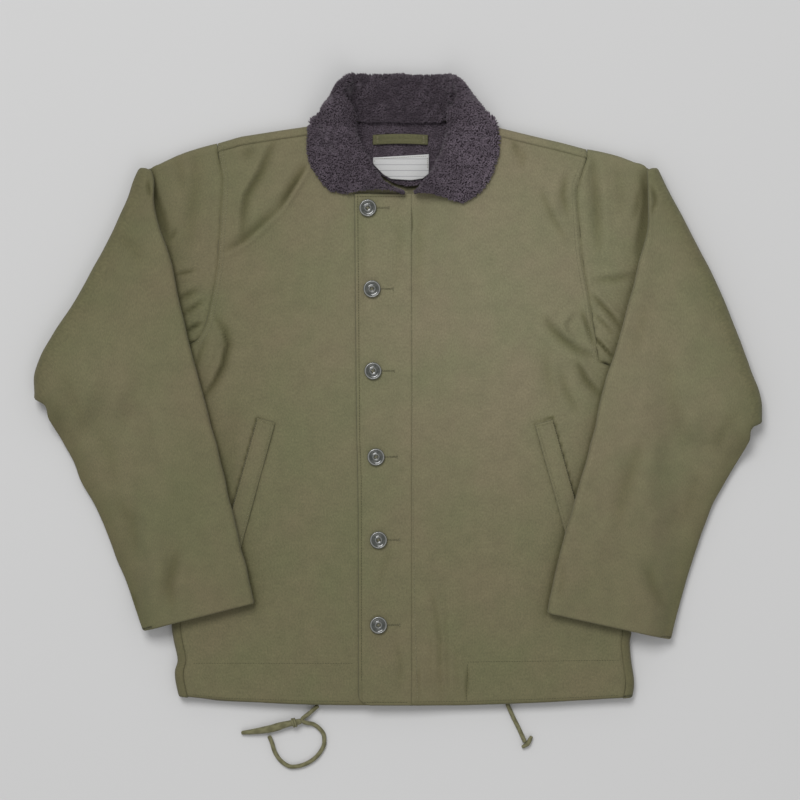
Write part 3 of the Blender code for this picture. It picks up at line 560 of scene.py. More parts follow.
NECK = {
    "right": [(-78, 697), (-68, 685), (-58, 668), (-46, 650), (-32, 634), (-20, 624),
              (-8, 618.5), (5, 617.5)],
    "left": [(8.3, 614.5), (16, 615.5), (25, 620), (37, 631), (50, 647), (62, 667),
             (69, 683), (76, 697)],
}
BACK_NECK = [(-72, 703.4), (-59, 703.7), (0, 703.2), (49, 703.7), (70, 703.4)]
BACK_NECK_HALF = 81.0
LEVELS = {
    "right": [10.1, 40, 55, 76, 97, 170, 250, 330, 420.5, 427, 433.2, 437.5, 457.2, 484.8,
              521, 574.8, 603, 632.4, 648.5, 664.6, 676],
    "left": [9.0, 28, 56, 76, 86, 160, 240, 315, 391, 399.5, 404.1, 408.4, 412.3, 436.2,
             492, 535.7, 596.4, 619.2, 638, 649, 656.7, 669],
}
ROLLED_ROWS = 9
BACK_COLUMNS = [0, 0.08, 0.17, 0.25, 0.324, 0.36, 0.43, 0.5, 0.57, 0.65, 0.686, 0.75, 0.83,
                0.92, 1]
# Painted shade on the strips of the back that roll round beside the side seams.
SIDE_SHADE = 0.84                           # the strips of the back beside the side seams
PLACKET_EDGE = [(2.4, -55.0), (30, -55.6), (271, -55.8), (319, -57.7), (615.2, -60.2)]

# %% [markdown]
# How far a point is from a fold's line decides how high it lies and the shade painted on it.
# Sculpting by hand would give freer folds, but these are written down and can be moved.

# %% Folds
def away_from(line, x, y):
    """Distance from a line of points, signed to its left, and how far along it, 0 to 1."""
    line = np.array(line, float)
    lengths = np.linalg.norm(np.diff(line, axis=0), axis=1)
    starts = np.concatenate([[0.0], np.cumsum(lengths)]) / lengths.sum()
    best = np.full(x.shape, 1e9)
    signed, part = np.zeros(x.shape), np.zeros(x.shape)
    for index, (start, end) in enumerate(zip(line, line[1:])):
        run = end - start
        share = ((x - start[0]) * run[0] + (y - start[1]) * run[1]) / (run @ run)
        near = np.clip(share, 0.0, 1.0)
        dx, dy = x - start[0] - near * run[0], y - start[1] - near * run[1]
        distance = np.hypot(dx, dy)
        closer = distance < best
        best = np.where(closer, distance, best)
        side = np.sign(run[0] * dy - run[1] * dx)
        signed = np.where(closer, distance * side, signed)
        part = np.where(closer, starts[index] + near * (starts[index + 1] - starts[index]), part)
    return signed, part


def drift(x, y, size, seed):
    """Smooth random heights from -1 to 1, with bumps of about this size."""
    lattice = np.random.RandomState(seed).uniform(-1.0, 1.0, (64, 64))
    gx, gy = np.asarray(x) / size, np.asarray(y) / size
    ix, iy = np.floor(gx).astype(int), np.floor(gy).astype(int)
    fx, fy = ease(gx - ix), ease(gy - iy)
    corner = lambda a, b: lattice[a % 64, b % 64]
    low = corner(ix, iy) * (1 - fx) + corner(ix + 1, iy) * fx
    high = corner(ix, iy + 1) * (1 - fx) + corner(ix + 1, iy + 1) * fx
    return low * (1 - fy) + high * fy


FOLD_DEPTH, FOLD_SHADE = 1.6, 1.6


def folded(x, y, folds):
    """Height and shade that the folds give at places. Each fold: its line in the
    photograph's pixels, its width to the left and to the right of the line, its height,
    the height of the swell on its left and on its right, and its shade."""
    height, shade = np.zeros(x.shape), np.ones(x.shape)
    for line, left, right, rise, swell_left, swell_right, dark in folds:
        signed, part = away_from([spot(*place) for place in line], x, y)
        width = np.where(signed > 0, left, right)
        fade = np.clip(np.sin(math.pi * np.clip(part * 0.94 + 0.03, 0, 1)), 0, 1) ** 0.6
        near = bell(signed, width)
        swell = np.where(signed > 0, swell_left, swell_right)
        hump = np.exp(-((np.abs(signed) - 1.9 * width) / (1.1 * width)) ** 2)
        height += FOLD_DEPTH * fade * (rise * near + swell * hump)
        # Painted shade in the bottom of each fold.
        shade -= FOLD_SHADE * dark * fade * (0.5 * near + 0.7 * near**3)
    return height, shade


FRONT_FOLDS = [
    ([(306, 166), (293, 187), (280, 208)], 2.6, 7.0, -2.6, 1.9, 0.5, 0.34),
    ([(280, 208), (262, 224), (243, 241), (226, 251)], 3.0, 8.0, -1.9, 1.4, 0.3, 0.20),
    ([(273, 141), (261, 171), (246, 196), (243, 214), (242, 237)], 8.0, 3.6, -2.4, 0.6, 1.6, 0.22),
    ([(250, 148), (246, 160)], 8.0, 8.0, -1.2, 0.3, 0.3, 0.08),
    ([(216, 320), (224, 331), (226.5, 345), (222, 365), (214, 382), (204, 397)],
     7.0, 2.6, -2.9, 0.2, 2.4, 0.34),
    ([(212, 330), (213, 350), (203, 374)], 4.0, 4.0, 1.6, -0.4, -0.4, 0.0),
    ([(205, 340), (200, 355), (197, 368)], 3.0, 3.0, -1.2, 0.3, 0.4, 0.14),
    ([(240, 400), (232, 440), (230, 490)], 16.0, 16.0, -1.0, 0.4, 0.4, 0.04),
    ([(541, 190), (554, 220), (566, 239)], 3.5, 6.0, -1.2, 0.5, 0.4, 0.10),
    ([(566, 176), (563, 196), (568, 214)], 4.5, 5.5, -2.0, 0.9, 0.7, 0.16),
    ([(513, 139), (519, 158)], 7.0, 6.0, -1.4, 0.5, 0.5, 0.12),
    ([(524, 150), (522, 168)], 6.0, 6.0, -1.0, 0.3, 0.3, 0.08),
    ([(546, 318), (554, 330), (564, 340), (577, 349), (594, 357)], 4.0, 7.0, -2.4, 1.4, 0.8, 0.20),
    ([(574, 309), (563, 322), (565, 333), (573, 342)], 4.0, 5.0, 1.8, -0.8, -0.6, 0.0),
    ([(582, 312), (588, 328), (594, 345)], 3.0, 3.0, -1.6, 0.8, 0.6, 0.22),
    ([(578, 362), (587, 380), (601, 396)], 3.2, 6.0, -2.4, 1.4, 0.6, 0.26),
    ([(561, 372), (567, 393), (578, 412)], 5.0, 7.0, -1.4, 0.7, 0.4, 0.11),
    ([(545, 350), (548, 375), (556, 405)], 9.0, 9.0, -1.1, 0.4, 0.4, 0.06),
    ([(431, 588), (436, 610), (440, 636), (440, 668), (442, 700)], 3.5, 5.5, -1.2, 0.6, 0.5, 0.08),
    ([(419, 668), (418, 702)], 2.4, 2.4, -0.7, 0.3, 0.3, 0.07),
    ([(431, 625), (431, 660), (430, 690)], 3.0, 3.0, -0.6, 0.3, 0.3, 0.03),
    ([(446, 610), (447, 660), (449, 700)], 3.0, 3.0, -0.7, 0.3, 0.3, 0.03),
    ([(456, 640), (457, 670), (458, 700)], 3.0, 3.0, -0.5, 0.3, 0.3, 0.03),
    ([(467.5, 668), (466.5, 701)], 1.8, 1.8, -1.3, 0.4, 0.4, 0.20),
    ([(424, 200), (420, 240), (417, 300)], 10.0, 10.0, -0.9, 0.3, 0.3, 0.05),
    ([(409, 210), (411, 226), (407, 240)], 3.0, 4.0, -1.1, 0.4, 0.4, 0.10),
]
SOLID_FOLDS = [
    (-130, 629, -180, 580, 11, 2.6), (-180, 580, -214, 547, 10, 2.0),
    (-184, 628, -199, 561, 9, 1.8), (162, 619, 192, 570, 10, 2.6),
    (190, 631, 196, 586, 8, 1.8), (176, 466, 206, 416, 10, 2.4),
    (34, 139, 45, 6, 8, 2.2), (62, 120, 66, 10, 7, 1.4),
    (-150, 520, -205, 480, 12, 1.6), (95, 300, 110, 180, 14, 1.2),
]


def swells(x, y, folds):
    """The large soft swells that the solids have."""
    total = np.zeros(x.shape)
    for x0, y0, x1, y1, width, height in folds:
        signed, part = away_from([(x0, y0), (x1, y1)], x, y)
        total += height * bell(signed, width) * (1.0 - 0.4 * np.abs(2 * part - 1))
    return total


def front_top(x, y):
    """Height of the fronts' outer face, as in the solids."""
    inside = ease(y / 60.0) * ease((read(SHOULDER, x) - SEAM_INSET - y) / 40.0)
    crown = 1.5 * (1.0 - (x / 272.0) ** 2) * inside
    step = np.where(x > 7.7, 3.4 * (1.0 - ease((x - 8.3) / 60.0)), 0.0)
    return BODY_DEPTH + crown + step + swells(x, y, SOLID_FOLDS) * inside


def seam_dip(distance, deep=0.9, width=1.6):
    return -deep * bell(distance, width)


# %% [markdown]
# The back is one cloth that rolls up round both sides and the shoulders, so the side
# seams show a little inside the outline. Its hem is rolled over and goes back inside. A
# cloth simulation would settle softly too, but not onto the outline of the solid.

# %% Back
def back_grid():
    turns = [math.pi * number / 5 for number in range(6)]
    flat_top = sorted([(x, y - ROLL) for x, y in SHOULDER if abs(x) >= BACK_NECK_HALF - 2]
                      + BACK_NECK)
    last = len(LEVELS["right"]) - 1
    rows = []
    for level, (y_right, y_left) in enumerate(zip(LEVELS["right"], LEVELS["left"])):
        rolled = level < ROLLED_ROWS
        if rolled:
            right = read(SIDE["right"], y_right) + ROLL
            left = read(SIDE["left"], y_left) - ROLL
        else:
            right, left = read(ARMHOLE["right"], y_right), read(ARMHOLE["left"], y_left)
        pull = max(0.0, (level - ROLLED_ROWS) / (last - ROLLED_ROWS)) ** 3
        ends = read(flat_top, right), read(flat_top, left)
        middle = []
        for part in BACK_COLUMNS:
            x = right + (left - right) * part
            y = y_right + (y_left - y_right) * part
            y += pull * (read(flat_top, x) - ends[0] - (ends[1] - ends[0]) * part)
            if level == 0:
                y = read(HEM, x)
            if level == last:
                y = read(flat_top, x)
            middle.append((x, y, 0.0))
        y0, y1 = middle[0][1], middle[-1][1]
        if rolled:
            start = [(right + SEAM_INSET - ROLL, y0, BODY_DEPTH)]
            start += [(right - ROLL * math.sin(a), y0, ROLL + ROLL * math.cos(a))
                      for a in turns[:-1]]
            end = [(left + ROLL * math.sin(a), y1, ROLL - ROLL * math.cos(a)) for a in turns[1:]]
            end += [(left - SEAM_INSET + ROLL, y1, BODY_DEPTH)]
        else:
            start, end = [middle[0]] * len(turns), [middle[-1]] * len(turns)
        rows.append(start + middle + end)
    return np.array(rows)


def shoulder_grid(side):
    """The part of the back that rolls up over the shoulder seam of one side."""
    flat_top = sorted([(x, y - ROLL) for x, y in SHOULDER if abs(x) >= BACK_NECK_HALF - 2])
    tip = SHOULDER[0][0] if side < 0 else SHOULDER[-1][0]
    columns = np.linspace(BACK_NECK_HALF * side * 1.05, tip, 40)
    base = np.stack([columns, read(flat_top, columns), np.zeros(40)], axis=1)
    rows = [base - [0.0, 24.0, 0.0], base - [0.0, 12.0, 0.0]]
    for angle in np.linspace(0, math.pi, 11):
        rows.append(base + [0.0, ROLL * math.sin(angle), ROLL - ROLL * math.cos(angle)])
    rows.append(base + [0.0, ROLL - SEAM_INSET, BODY_DEPTH])
    return np.array(rows)


grid = back_grid()
rolled = grid[:ROLLED_ROWS]
body_rows = finer(finer(rolled, 4.5, 1), 4.5, 0)
side_wave = drift(body_rows[..., 1], body_rows[..., 0] * 0 + 3.0, 26.0, 5) * 0.8
outer = np.abs(body_rows[..., 0]) > 262.0
body_rows[..., 0] += np.where(outer, side_wave * np.sign(body_rows[..., 0]), 0.0)
lower = turn_in(body_rows[::-1], 3.4, 26.0, side=1.0)
# The rolled strips of the back carry painted shade.
back_low = build("cloth_back", lower, cloth, CLOTH, flip=False,
                 shade=np.full(lower.shape[:2], SIDE_SHADE))
upper = finer(finer(grid[ROLLED_ROWS - 1:, 6:-6], 6.0, 1), 6.0, 0)
back_high = build("cloth_back_yoke", upper, cloth, CLOTH, flip=True)
shoulders = [build(f"cloth_shoulder_{name}", finer(shoulder_grid(side), 3.0, 1), cloth, CLOTH,
                   flip=side > 0) for name, side in (("right", -1), ("left", 1))]
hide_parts("back")

# %% [markdown]
# Each front runs from the centre to the side seam and the armhole. The surface is a height
# over the plan: the soft swells of the solid, then the folds, then a crisp dip along the
# armhole, the side and the shoulder, where the seams pull the cloth down.

# %% Fronts
FRONT_CUT = {"right": (5.0, -1), "left": (8.3, 1)}
WELTS = {"right": [(-166.0, 343.0), (-212.0, 176.0)], "left": [(167.4, 340.5), (212.0, 182.0)]}
WELT_WIDTH, WELT_HALF = 23.0, 85.0
UNDER_SLEEVE = 1.5                          # how far a front reaches under its sleeve, mm


def welt_place(name, x, y):
    """Places along and across a pocket welt, from its middle."""
    (x0, y0), (x1, y1) = WELTS[name]
    length = math.hypot(x1 - x0, y1 - y0)
    run_x, run_y = (x1 - x0) / length, (y1 - y0) / length
    dx, dy = x - (x0 + x1) / 2, y - (y0 + y1) / 2
    return dx * run_x + dy * run_y, dx * run_y - dy * run_x


def front_plan(name):
    centre_x, side = FRONT_CUT[name]
    levels = LEVELS[name][:-1]
    low, tip_y = levels[0], levels[-1]
    tip_x = read(ARMHOLE[name], tip_y)
    neck = sorted(NECK[name], key=lambda point: side * point[0])
    seams = sorted((SHOULDER[0][0] + (SHOULDER[-1][0] - SHOULDER[0][0]) * part
                    for part in BACK_COLUMNS), key=abs)
    seams = [x for x in seams if x * side > BACK_NECK_HALF - 2][:-1] + [tip_x]
    top = neck + [(x, read(SHOULDER, x) - SEAM_INSET + SEAM_LAP) for x in seams]
    rows = []
    for level, y_side in enumerate(levels):
        share = (y_side - low) / (tip_y - low)
        outer = read(ARMHOLE[name], y_side) + side * UNDER_SLEEVE
        if level < ROLLED_ROWS:
            outer = read(SIDE[name], y_side) - side * (SEAM_INSET - SEAM_LAP)
        row = []
        for top_x, top_y in top:
            part = (top_x - centre_x) / (tip_x - centre_x)
            x = centre_x + (outer - centre_x) * part
            chord = neck[0][1] + (tip_y - neck[0][1]) * part
            hem = read(HEM, x) + (low - read(HEM, x)) * part**6
            y = hem + (chord - hem) * share + share**4 * (top_y - chord)
            row.append((x, y, 0.0))
        rows.append(row)
    rows[-1] = [(x, y, 0.0) for x, y in top]
    return np.array(rows)


def front_surface(name, x, y):
    """Height and shade of a front, with its folds and seams."""
    inside = ease(y / 25.0) * ease((read(SHOULDER, x) - SEAM_INSET - y) / 14.0)
    height, shade = folded(x, y, FRONT_FOLDS)
    z = front_top(x, y) + height * inside
    z += 0.35 * drift(x, y, 34.0, 11) * inside + 0.10 * drift(x, y, 9.0, 12) * inside
    armhole, _ = away_from([(px, py) for py, px in ARMHOLE[name]], x, y)
    under = -FRONT_CUT[name][1] * armhole
    z -= 1.6 * ease(under / 0.9)
    armhole = np.abs(armhole)
    z += seam_dip(armhole, 0.8, 1.5) + 0.45 * bell(armhole - 4.2, 2.2)
    # Painted shade in the dips of the armhole, shoulder and side seams, here and below.
    shade -= 0.14 * bell(armhole, 1.5)
    seam = read(SHOULDER, x) - SEAM_INSET - y
    z += seam_dip(seam, 0.5, 1.6) + 0.25 * bell(seam - 4.0, 2.5)
    shade -= 0.10 * bell(seam, 1.6)
    side = np.abs(x - read(SIDE[name], y)) - SEAM_INSET
    low = y < LEVELS[name][ROLLED_ROWS - 1]
    z += np.where(low, seam_dip(side, 0.6, 2.0) + 0.3 * bell(side - 5.0, 3.0), 0.0)
    shade -= np.where(low, 0.10 * bell(side, 1.6), 0.0)
    # Painted shadow cast on the front by the sleeve's inner edge.
    sleeve, _ = away_from(SLEEVES[name]["inner_edge"], x, y)
    shade -= 0.30 * bell(sleeve, 3.2) + 0.10 * bell(sleeve, 14.0)
    # Painted shade round the welt, deepest along the pocket's mouth.
    along_welt, across_welt = welt_place(name, x, y)
    past = np.maximum(np.abs(across_welt) - WELT_WIDTH / 2, np.abs(along_welt) - WELT_HALF)
    mouth = -FRONT_CUT[name][1] * across_welt > 0
    shade -= np.where(mouth, 0.50, 0.20) * bell(past, 1.5)
    z -= np.where(mouth, 1.1, 0.5) * bell(past, 1.6)
    # Painted shade along the hem, where the cloth rolls under.
    foot = y - read(HEM, x)
    shade -= 0.14 * bell(foot, 5.0)
    return z, np.clip(shade, 0.40, 1.1)


def make_front(name):
    grid = finer(finer(front_plan(name), 2.9, 1, near_end=5), 2.9, 0, near_end=3, near_start=3)
    grid[..., 2], _ = front_surface(name, grid[..., 0], grid[..., 1])
    side = FRONT_CUT[name][1]
    grid = turn_in(grid[::-1], 3.4, 26.0, side=-side)
    _, shade = front_surface(name, grid[..., 0], grid[..., 1])
    made = build(f"cloth_front_{name}", grid, cloth, CLOTH, flip=side > 0, shade=shade)
    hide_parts(f"front_{name}")
    return made


# %% [markdown]
# A sleeve is one flattened tube. It goes out from the armhole, is folded over once at the
# outline and lies back across the front, down to the cuff, which is rolled inside.

# %% Sleeves
SLEEVE_DEPTH, SLEEVE_GAP = 14.0, 1.0
CAP_LIFT = {"right": 8.5, "left": 12.0}
SLEEVES = {
    "right": {
        "armhole": [(-225.6, 668), (-225.4, 664.6), (-222.2, 648.5), (-218.8, 632.4),
                    (-221.8, 574.8), (-226.1, 521), (-232.6, 484.8), (-239.0, 457.2),
                    (-250.7, 437.9), (-258.4, 433.8), (-262.0, 429.5)],
        "armhole_end": (-0.35, -0.94),
        "fold": [(-318.2, 641.0), (-334.9, 600.4), (-354.2, 561.7), (-369.2, 534.0),
                 (-397.1, 484.8), (-418.6, 454.8), (-437.9, 420.4), (-445.9, 392.4),
                 (-444.6, 368.9)],
        "inner_edge": [(-318.0, 641.0), (-311.4, 628.2), (-303.0, 602.4), (-285.7, 561.7),
                       (-270.7, 487.2), (-255.7, 427.2), (-239.5, 365.3), (-222.6, 305.6),
                       (-205.8, 232.0), (-186.8, 156.4), (-178.8, 123.6)],
        "outer_edge": [(-444.6, 368.9), (-429.6, 349.4), (-401.6, 299.6), (-381.8, 253.9),
                       (-363.8, 226.1), (-352.0, 188.4), (-332.0, 144.5), (-314.2, 89.8)],
        "swells": [(-226, 462, -216, 432, 9, 2.5), (-272, 187, -286, 130, 12, -1.8),
                   (-345, 247, -322, 175, 14, 1.6), (-330, 520, -300, 400, 18, 2.0),
                   (-380, 400, -330, 330, 16, 1.8), (-300, 330, -262, 250, 15, 1.4)],
        "cap_folds": [
            ([(197, 152), (196, 180), (192, 215), (188, 250)], 9.0, 9.0, -1.6, 0.6, 0.6, 0.08),
            ([(172, 152), (180, 170), (182, 190)], 7.0, 7.0, -1.2, 0.5, 0.5, 0.07),
            ([(150, 170), (152, 186), (158, 206), (168, 236)], 4.0, 5.0, -2.6, 0.8, 0.5, 0.22),
            ([(169, 241), (176, 230)], 3.0, 3.0, -1.4, 0.5, 0.5, 0.14),
            ([(176, 275), (194, 270)], 2.4, 3.0, -1.6, 0.9, 0.6, 0.20),
            ([(178, 299), (196, 290)], 3.0, 4.5, -2.0, 1.2, 0.7, 0.20),
            ([(182, 315), (202, 301)], 2.4, 4.0, -1.9, 1.2, 0.6, 0.22),
            ([(186, 331), (194, 326), (201, 323)], 2.2, 3.2, -2.4, 1.3, 0.6, 0.34),
            ([(188, 343), (197, 342), (205, 335)], 2.2, 3.0, -1.8, 1.0, 0.6, 0.24),
            ([(192, 354), (200, 346), (206, 336)], 2.4, 3.0, -1.6, 0.9, 0.6, 0.20),
        ],
        "folds": [
            ([(178, 552), (170, 584), (173, 607)], 7.0, 9.0, -2.2, 0.8, 0.6, 0.13),
            ([(118, 500), (132, 522), (136, 556)], 9.0, 9.0, -1.7, 0.6, 0.6, 0.08),
            ([(96, 425), (110, 455), (116, 490)], 12.0, 12.0, -1.1, 0.5, 0.5, 0.05),
            ([(120, 236), (136, 250), (141, 266)], 10.0, 10.0, -1.3, 0.5, 0.5, 0.07),
            ([(126, 588), (134, 600), (138, 620)], 4.0, 5.0, -1.6, 0.7, 0.5, 0.12),
            ([(62, 370), (74, 400), (84, 430)], 12.0, 12.0, -1.0, 0.5, 0.5, 0.05),
            ([(148, 182), (151, 197)], 3.0, 3.0, -1.6, 0.6, 0.6, 0.22),
        ],
    },
    "left": {
        "armhole": [(220.1, 661.0), (220.0, 657.0), (217.4, 649.0), (213.8, 638.0),
                    (207.6, 619.2), (208.7, 596.4),
                    (214.0, 535.7), (222.0, 492.0), (229.9, 436.4), (234.8, 413.0),
                    (245.7, 409.2), (254.8, 404.9), (260.2, 400.2)],
        "armhole_end": (0.35, -0.94),
        "fold": [(303.4, 636.7), (319.4, 606.7), (351.6, 551.0), (368.8, 518.9),
                 (390.1, 471.7), (411.6, 418.2), (428.8, 371.0), (430.2, 356.9),
                 (430.2, 339.7)],
        "inner_edge": [(303.4, 636.7), (291.6, 620.0), (292.7, 589.7), (289.4, 566.0),
                       (270.1, 488.9), (257.3, 439.7), (236.3, 374.0), (221.3, 305.5),
                       (204.1, 249.7), (178.4, 155.5), (171.0, 111.6)],
        "outer_edge": [(430.2, 339.7), (418.4, 324.7), (397.1, 288.4), (371.3, 243.4),
                       (356.3, 202.8), (343.4, 166.2), (332.8, 127.7), (319.8, 79.4)],
        "swells": [(228, 658, 236, 552, 8, -1.8), (226, 494, 264, 456, 8, 2.6),
                   (226, 467, 247, 451, 7, 2.0), (230, 442, 249, 420, 6, 3.0),
                   (290, 258, 236, 203, 16, 2.0), (300, 160, 330, 115, 18, -1.6),
                   (350, 480, 330, 380, 16, 2.0), (300, 420, 345, 330, 15, 1.5)],
        "cap_folds": [
            ([(594, 160), (596, 186), (598, 214), (600, 250)], 5.0, 7.0, -2.0, 0.9, 0.7, 0.14),
            ([(618, 165), (622, 190), (622, 220)], 10.0, 10.0, -1.0, 0.4, 0.4, 0.04),
            ([(640, 192), (638, 208), (634, 220)], 3.0, 4.0, -1.6, 0.7, 0.5, 0.16),
            ([(645, 176), (645, 200), (643, 225), (637, 255)], 5.0, 4.0, -2.8, 0.8, 0.4, 0.22),
            ([(596, 280), (615, 279), (634, 275)], 4.0, 6.0, -1.8, 1.0, 0.6, 0.12),
            ([(594, 296), (611, 314), (622, 328)], 3.0, 4.5, -2.4, 1.3, 0.7, 0.26),
            ([(595, 315), (606, 325), (613, 334)], 2.6, 3.0, -1.4, 0.7, 0.5, 0.16),
            ([(596, 338), (604, 347), (613, 357)], 2.0, 2.6, -3.0, 1.4, 0.7, 0.50),
            ([(603, 362), (608, 366), (611, 372)], 2.4, 2.4, -2.0, 0.8, 0.6, 0.30),
        ],
        "folds": [
            ([(646, 300), (640, 330), (630, 360)], 14.0, 14.0, -1.2, 0.5, 0.5, 0.05),
            ([(640, 443), (625, 487), (616, 525)], 12.0, 12.0, -1.9, 0.8, 0.8, 0.09),
            ([(646, 566), (654, 590), (662, 606)], 10.0, 10.0, -1.8, 0.7, 0.7, 0.11),
            ([(652, 188), (655, 202), (651, 214)], 3.0, 3.0, -1.6, 0.7, 0.7, 0.20),
            ([(700, 470), (690, 500), (676, 530)], 13.0, 13.0, -1.2, 0.5, 0.5, 0.06),
            ([(740, 410), (724, 428), (712, 450)], 10.0, 10.0, -1.2, 0.5, 0.5, 0.06),
            ([(660, 345), (672, 390), (674, 430)], 14.0, 14.0, -1.0, 0.4, 0.4, 0.04),
            ([(560, 560), (562, 580), (558, 600)], 6.0, 6.0, -1.0, 0.5, 0.5, 0.05),
        ],
    },
}


def along(points, part):
    """The point at a share of a route's length."""
    points = np.array(points, float)
    lengths = np.concatenate([[0.0], np.cumsum(np.linalg.norm(np.diff(points, axis=0), axis=1))])
    return np.array([np.interp(part * lengths[-1], lengths, column) for column in points.T])


def support(x, y, name):
    """Height of what the folded-over part of a sleeve lies on."""
    cut = SLEEVES[name]
    side = -1 if name == "right" else 1
    off_body = side * (x - read(SIDE[name], y))
    (x0, y0), (x1, y1) = WELTS[name]
    run_x, run_y = x1 - x0, y1 - y0
    near = np.clip(((x - x0) * run_x + (y - y0) * run_y) / (run_x**2 + run_y**2), 0, 1)
    away = math.hypot(x - x0 - near * run_x, y - y0 - near * run_y)
    bump = 3.5 * (1.0 - ease((away - WELT_WIDTH / 2 - 8.0) / 25.0))
    here = np.array([x]), np.array([y])
    on_body = BODY_DEPTH + 2.2 + bump + swells(*here, SOLID_FOLDS)[0]
    height = on_body * (1.0 - ease((off_body - 14.0) / 45.0))
    start, end = cut["armhole"][-1], cut["fold"][-1]
    run = np.array(end) - start
    run /= np.linalg.norm(run)
    below = -side * ((y - start[1]) * run[0] - (x - start[0]) * run[1])
    seam = sorted((py, px) for px, py in cut["armhole"])
    off_arm = abs(x) - abs(read(seam, y))
    layer = SLEEVE_DEPTH + SLEEVE_GAP + 2.0 * (1.0 - ease(off_arm / 30.0))
    return max(height, layer * (1.0 - ease((below - 14.0) / 45.0)))


fronts = {name: make_front(name) for name in FRONT_CUT}
CAP_TURNS = np.radians([45.0, 90.0, 135.0])


def ring(face, half, up, end_start, end_far):
    """A flattened ring: the front face, one end, the back face, the other end."""
    loop = [p + half * up for p in face]
    loop += [face[-1] + half * (math.cos(a) * up + math.sin(a) * end_far) for a in CAP_TURNS]
    loop += [p - half * up for p in reversed(face)]
    loop += [face[0] - half * (math.cos(a) * up - math.sin(a) * end_start) for a in CAP_TURNS]
    return loop


def unit(vector):
    return vector / np.linalg.norm(vector)


def sleeve_grid(name):
    """Rings from the armhole to the cuff. A fourth number says how far each has come:
    below 1 on the way out, between 1 and 2 in the fold, above 2 on the way back."""
    cut = SLEEVES[name]
    side = -1 if name == "right" else 1
    half = SLEEVE_DEPTH / 2
    armhole = np.array(cut["armhole"], float) - [side * 2 * SEAM_LAP, 0.0]
    steps = np.linalg.norm(np.diff(armhole, axis=0), axis=1)
    shares = np.concatenate([[0.0], np.cumsum(steps)]) / steps.sum()
    fold_line = np.array(cut["fold"], float)
    fold_length = np.linalg.norm(np.diff(fold_line, axis=0), axis=1).sum()
    fold = [along(fold_line, (half + share * (fold_length - 2 * half)) / fold_length)
            for share in shares]
    chord = unit(fold_line[-1] - fold_line[0])
    inward = np.array([-chord[1], chord[0]]) if side < 0 else np.array([chord[1], -chord[0]])
    turn = SLEEVE_DEPTH + SLEEVE_GAP / 2
    lift_top = [np.array([0.0, CAP_LIFT[name] * (1.0 - share) ** 3]) for share in shares]
    axis = [point + turn * inward + rise for point, rise in zip(fold, lift_top)]
    up = np.array([0.0, 0.0, 1.0])
    toward = np.array([*inward, 0.0])
    arm_end = unit(np.array([*cut["armhole_end"], 0.0]))
    far_end = np.array([*chord, 0.0])
    rings, stage = [], []
    for part in (0, 0.12, 0.32, 0.54, 0.77, 1.0):
        deep = ROLL + (half - ROLL) * ease(part / 0.3)
        bow = math.sin(math.pi * part)
        face = []
        for share, arm, out in zip(shares, armhole, axis):
            x, y = arm + (out - arm) * part
            y += bow * (5.0 * (1.0 - share) ** 2 + 12.0 * share**2)
            y += CAP_LIFT[name] * 0.35 * part**3 * (1.0 - share) ** 4
            face.append(np.array([x, y, deep]))
        near = unit(np.array([side * 0.1, 1.0, 0.0]) * (1 - part) - far_end * part)
        rings.append(ring(face, deep, up, near, unit(arm_end * (1 - part) + far_end * part)))
        stage.append(part * 0.9)
    for degrees in (36, 72, 108, 144, 180):
        angle = math.radians(degrees)
        normal = math.sin(angle) * toward + math.cos(angle) * up
        lift = turn - (half + SLEEVE_GAP / 2) * math.cos(angle)
        out = (half + SLEEVE_GAP / 2) * math.sin(angle)
        face = [np.array([*(point - out * inward), lift]) for point in axis]
        rings.append(ring(face, half, normal, -far_end, far_end))
        stage.append(1.0 + degrees / 180.0)
    straight = [along([axis[0], axis[-1]], share) for share in shares]
    for part in np.linspace(0.1, 1.0, 10):
        inner, outer = along(cut["inner_edge"], part), along(cut["outer_edge"], part)
        span = unit(outer - inner)
        inner, outer = inner + span * half, outer - span * half
        face = []
        for share, bent, level in zip(shares, axis, straight):
            x, y = inner + (outer - inner) * share + (1.0 - part) ** 4 * (bent - level)
            face.append(np.array([x, y, support(x, y, name) + half]))
        end = np.array([*span, 0.0])
        rings.append(ring(face, half, -up, -end, end))
        stage.append(2.0 + part)
    grid = np.array(rings)
    extra = np.broadcast_to(np.array(stage)[:, None, None] * 0.01, grid.shape[:2] + (1,))
    return np.concatenate([grid, extra], axis=2)


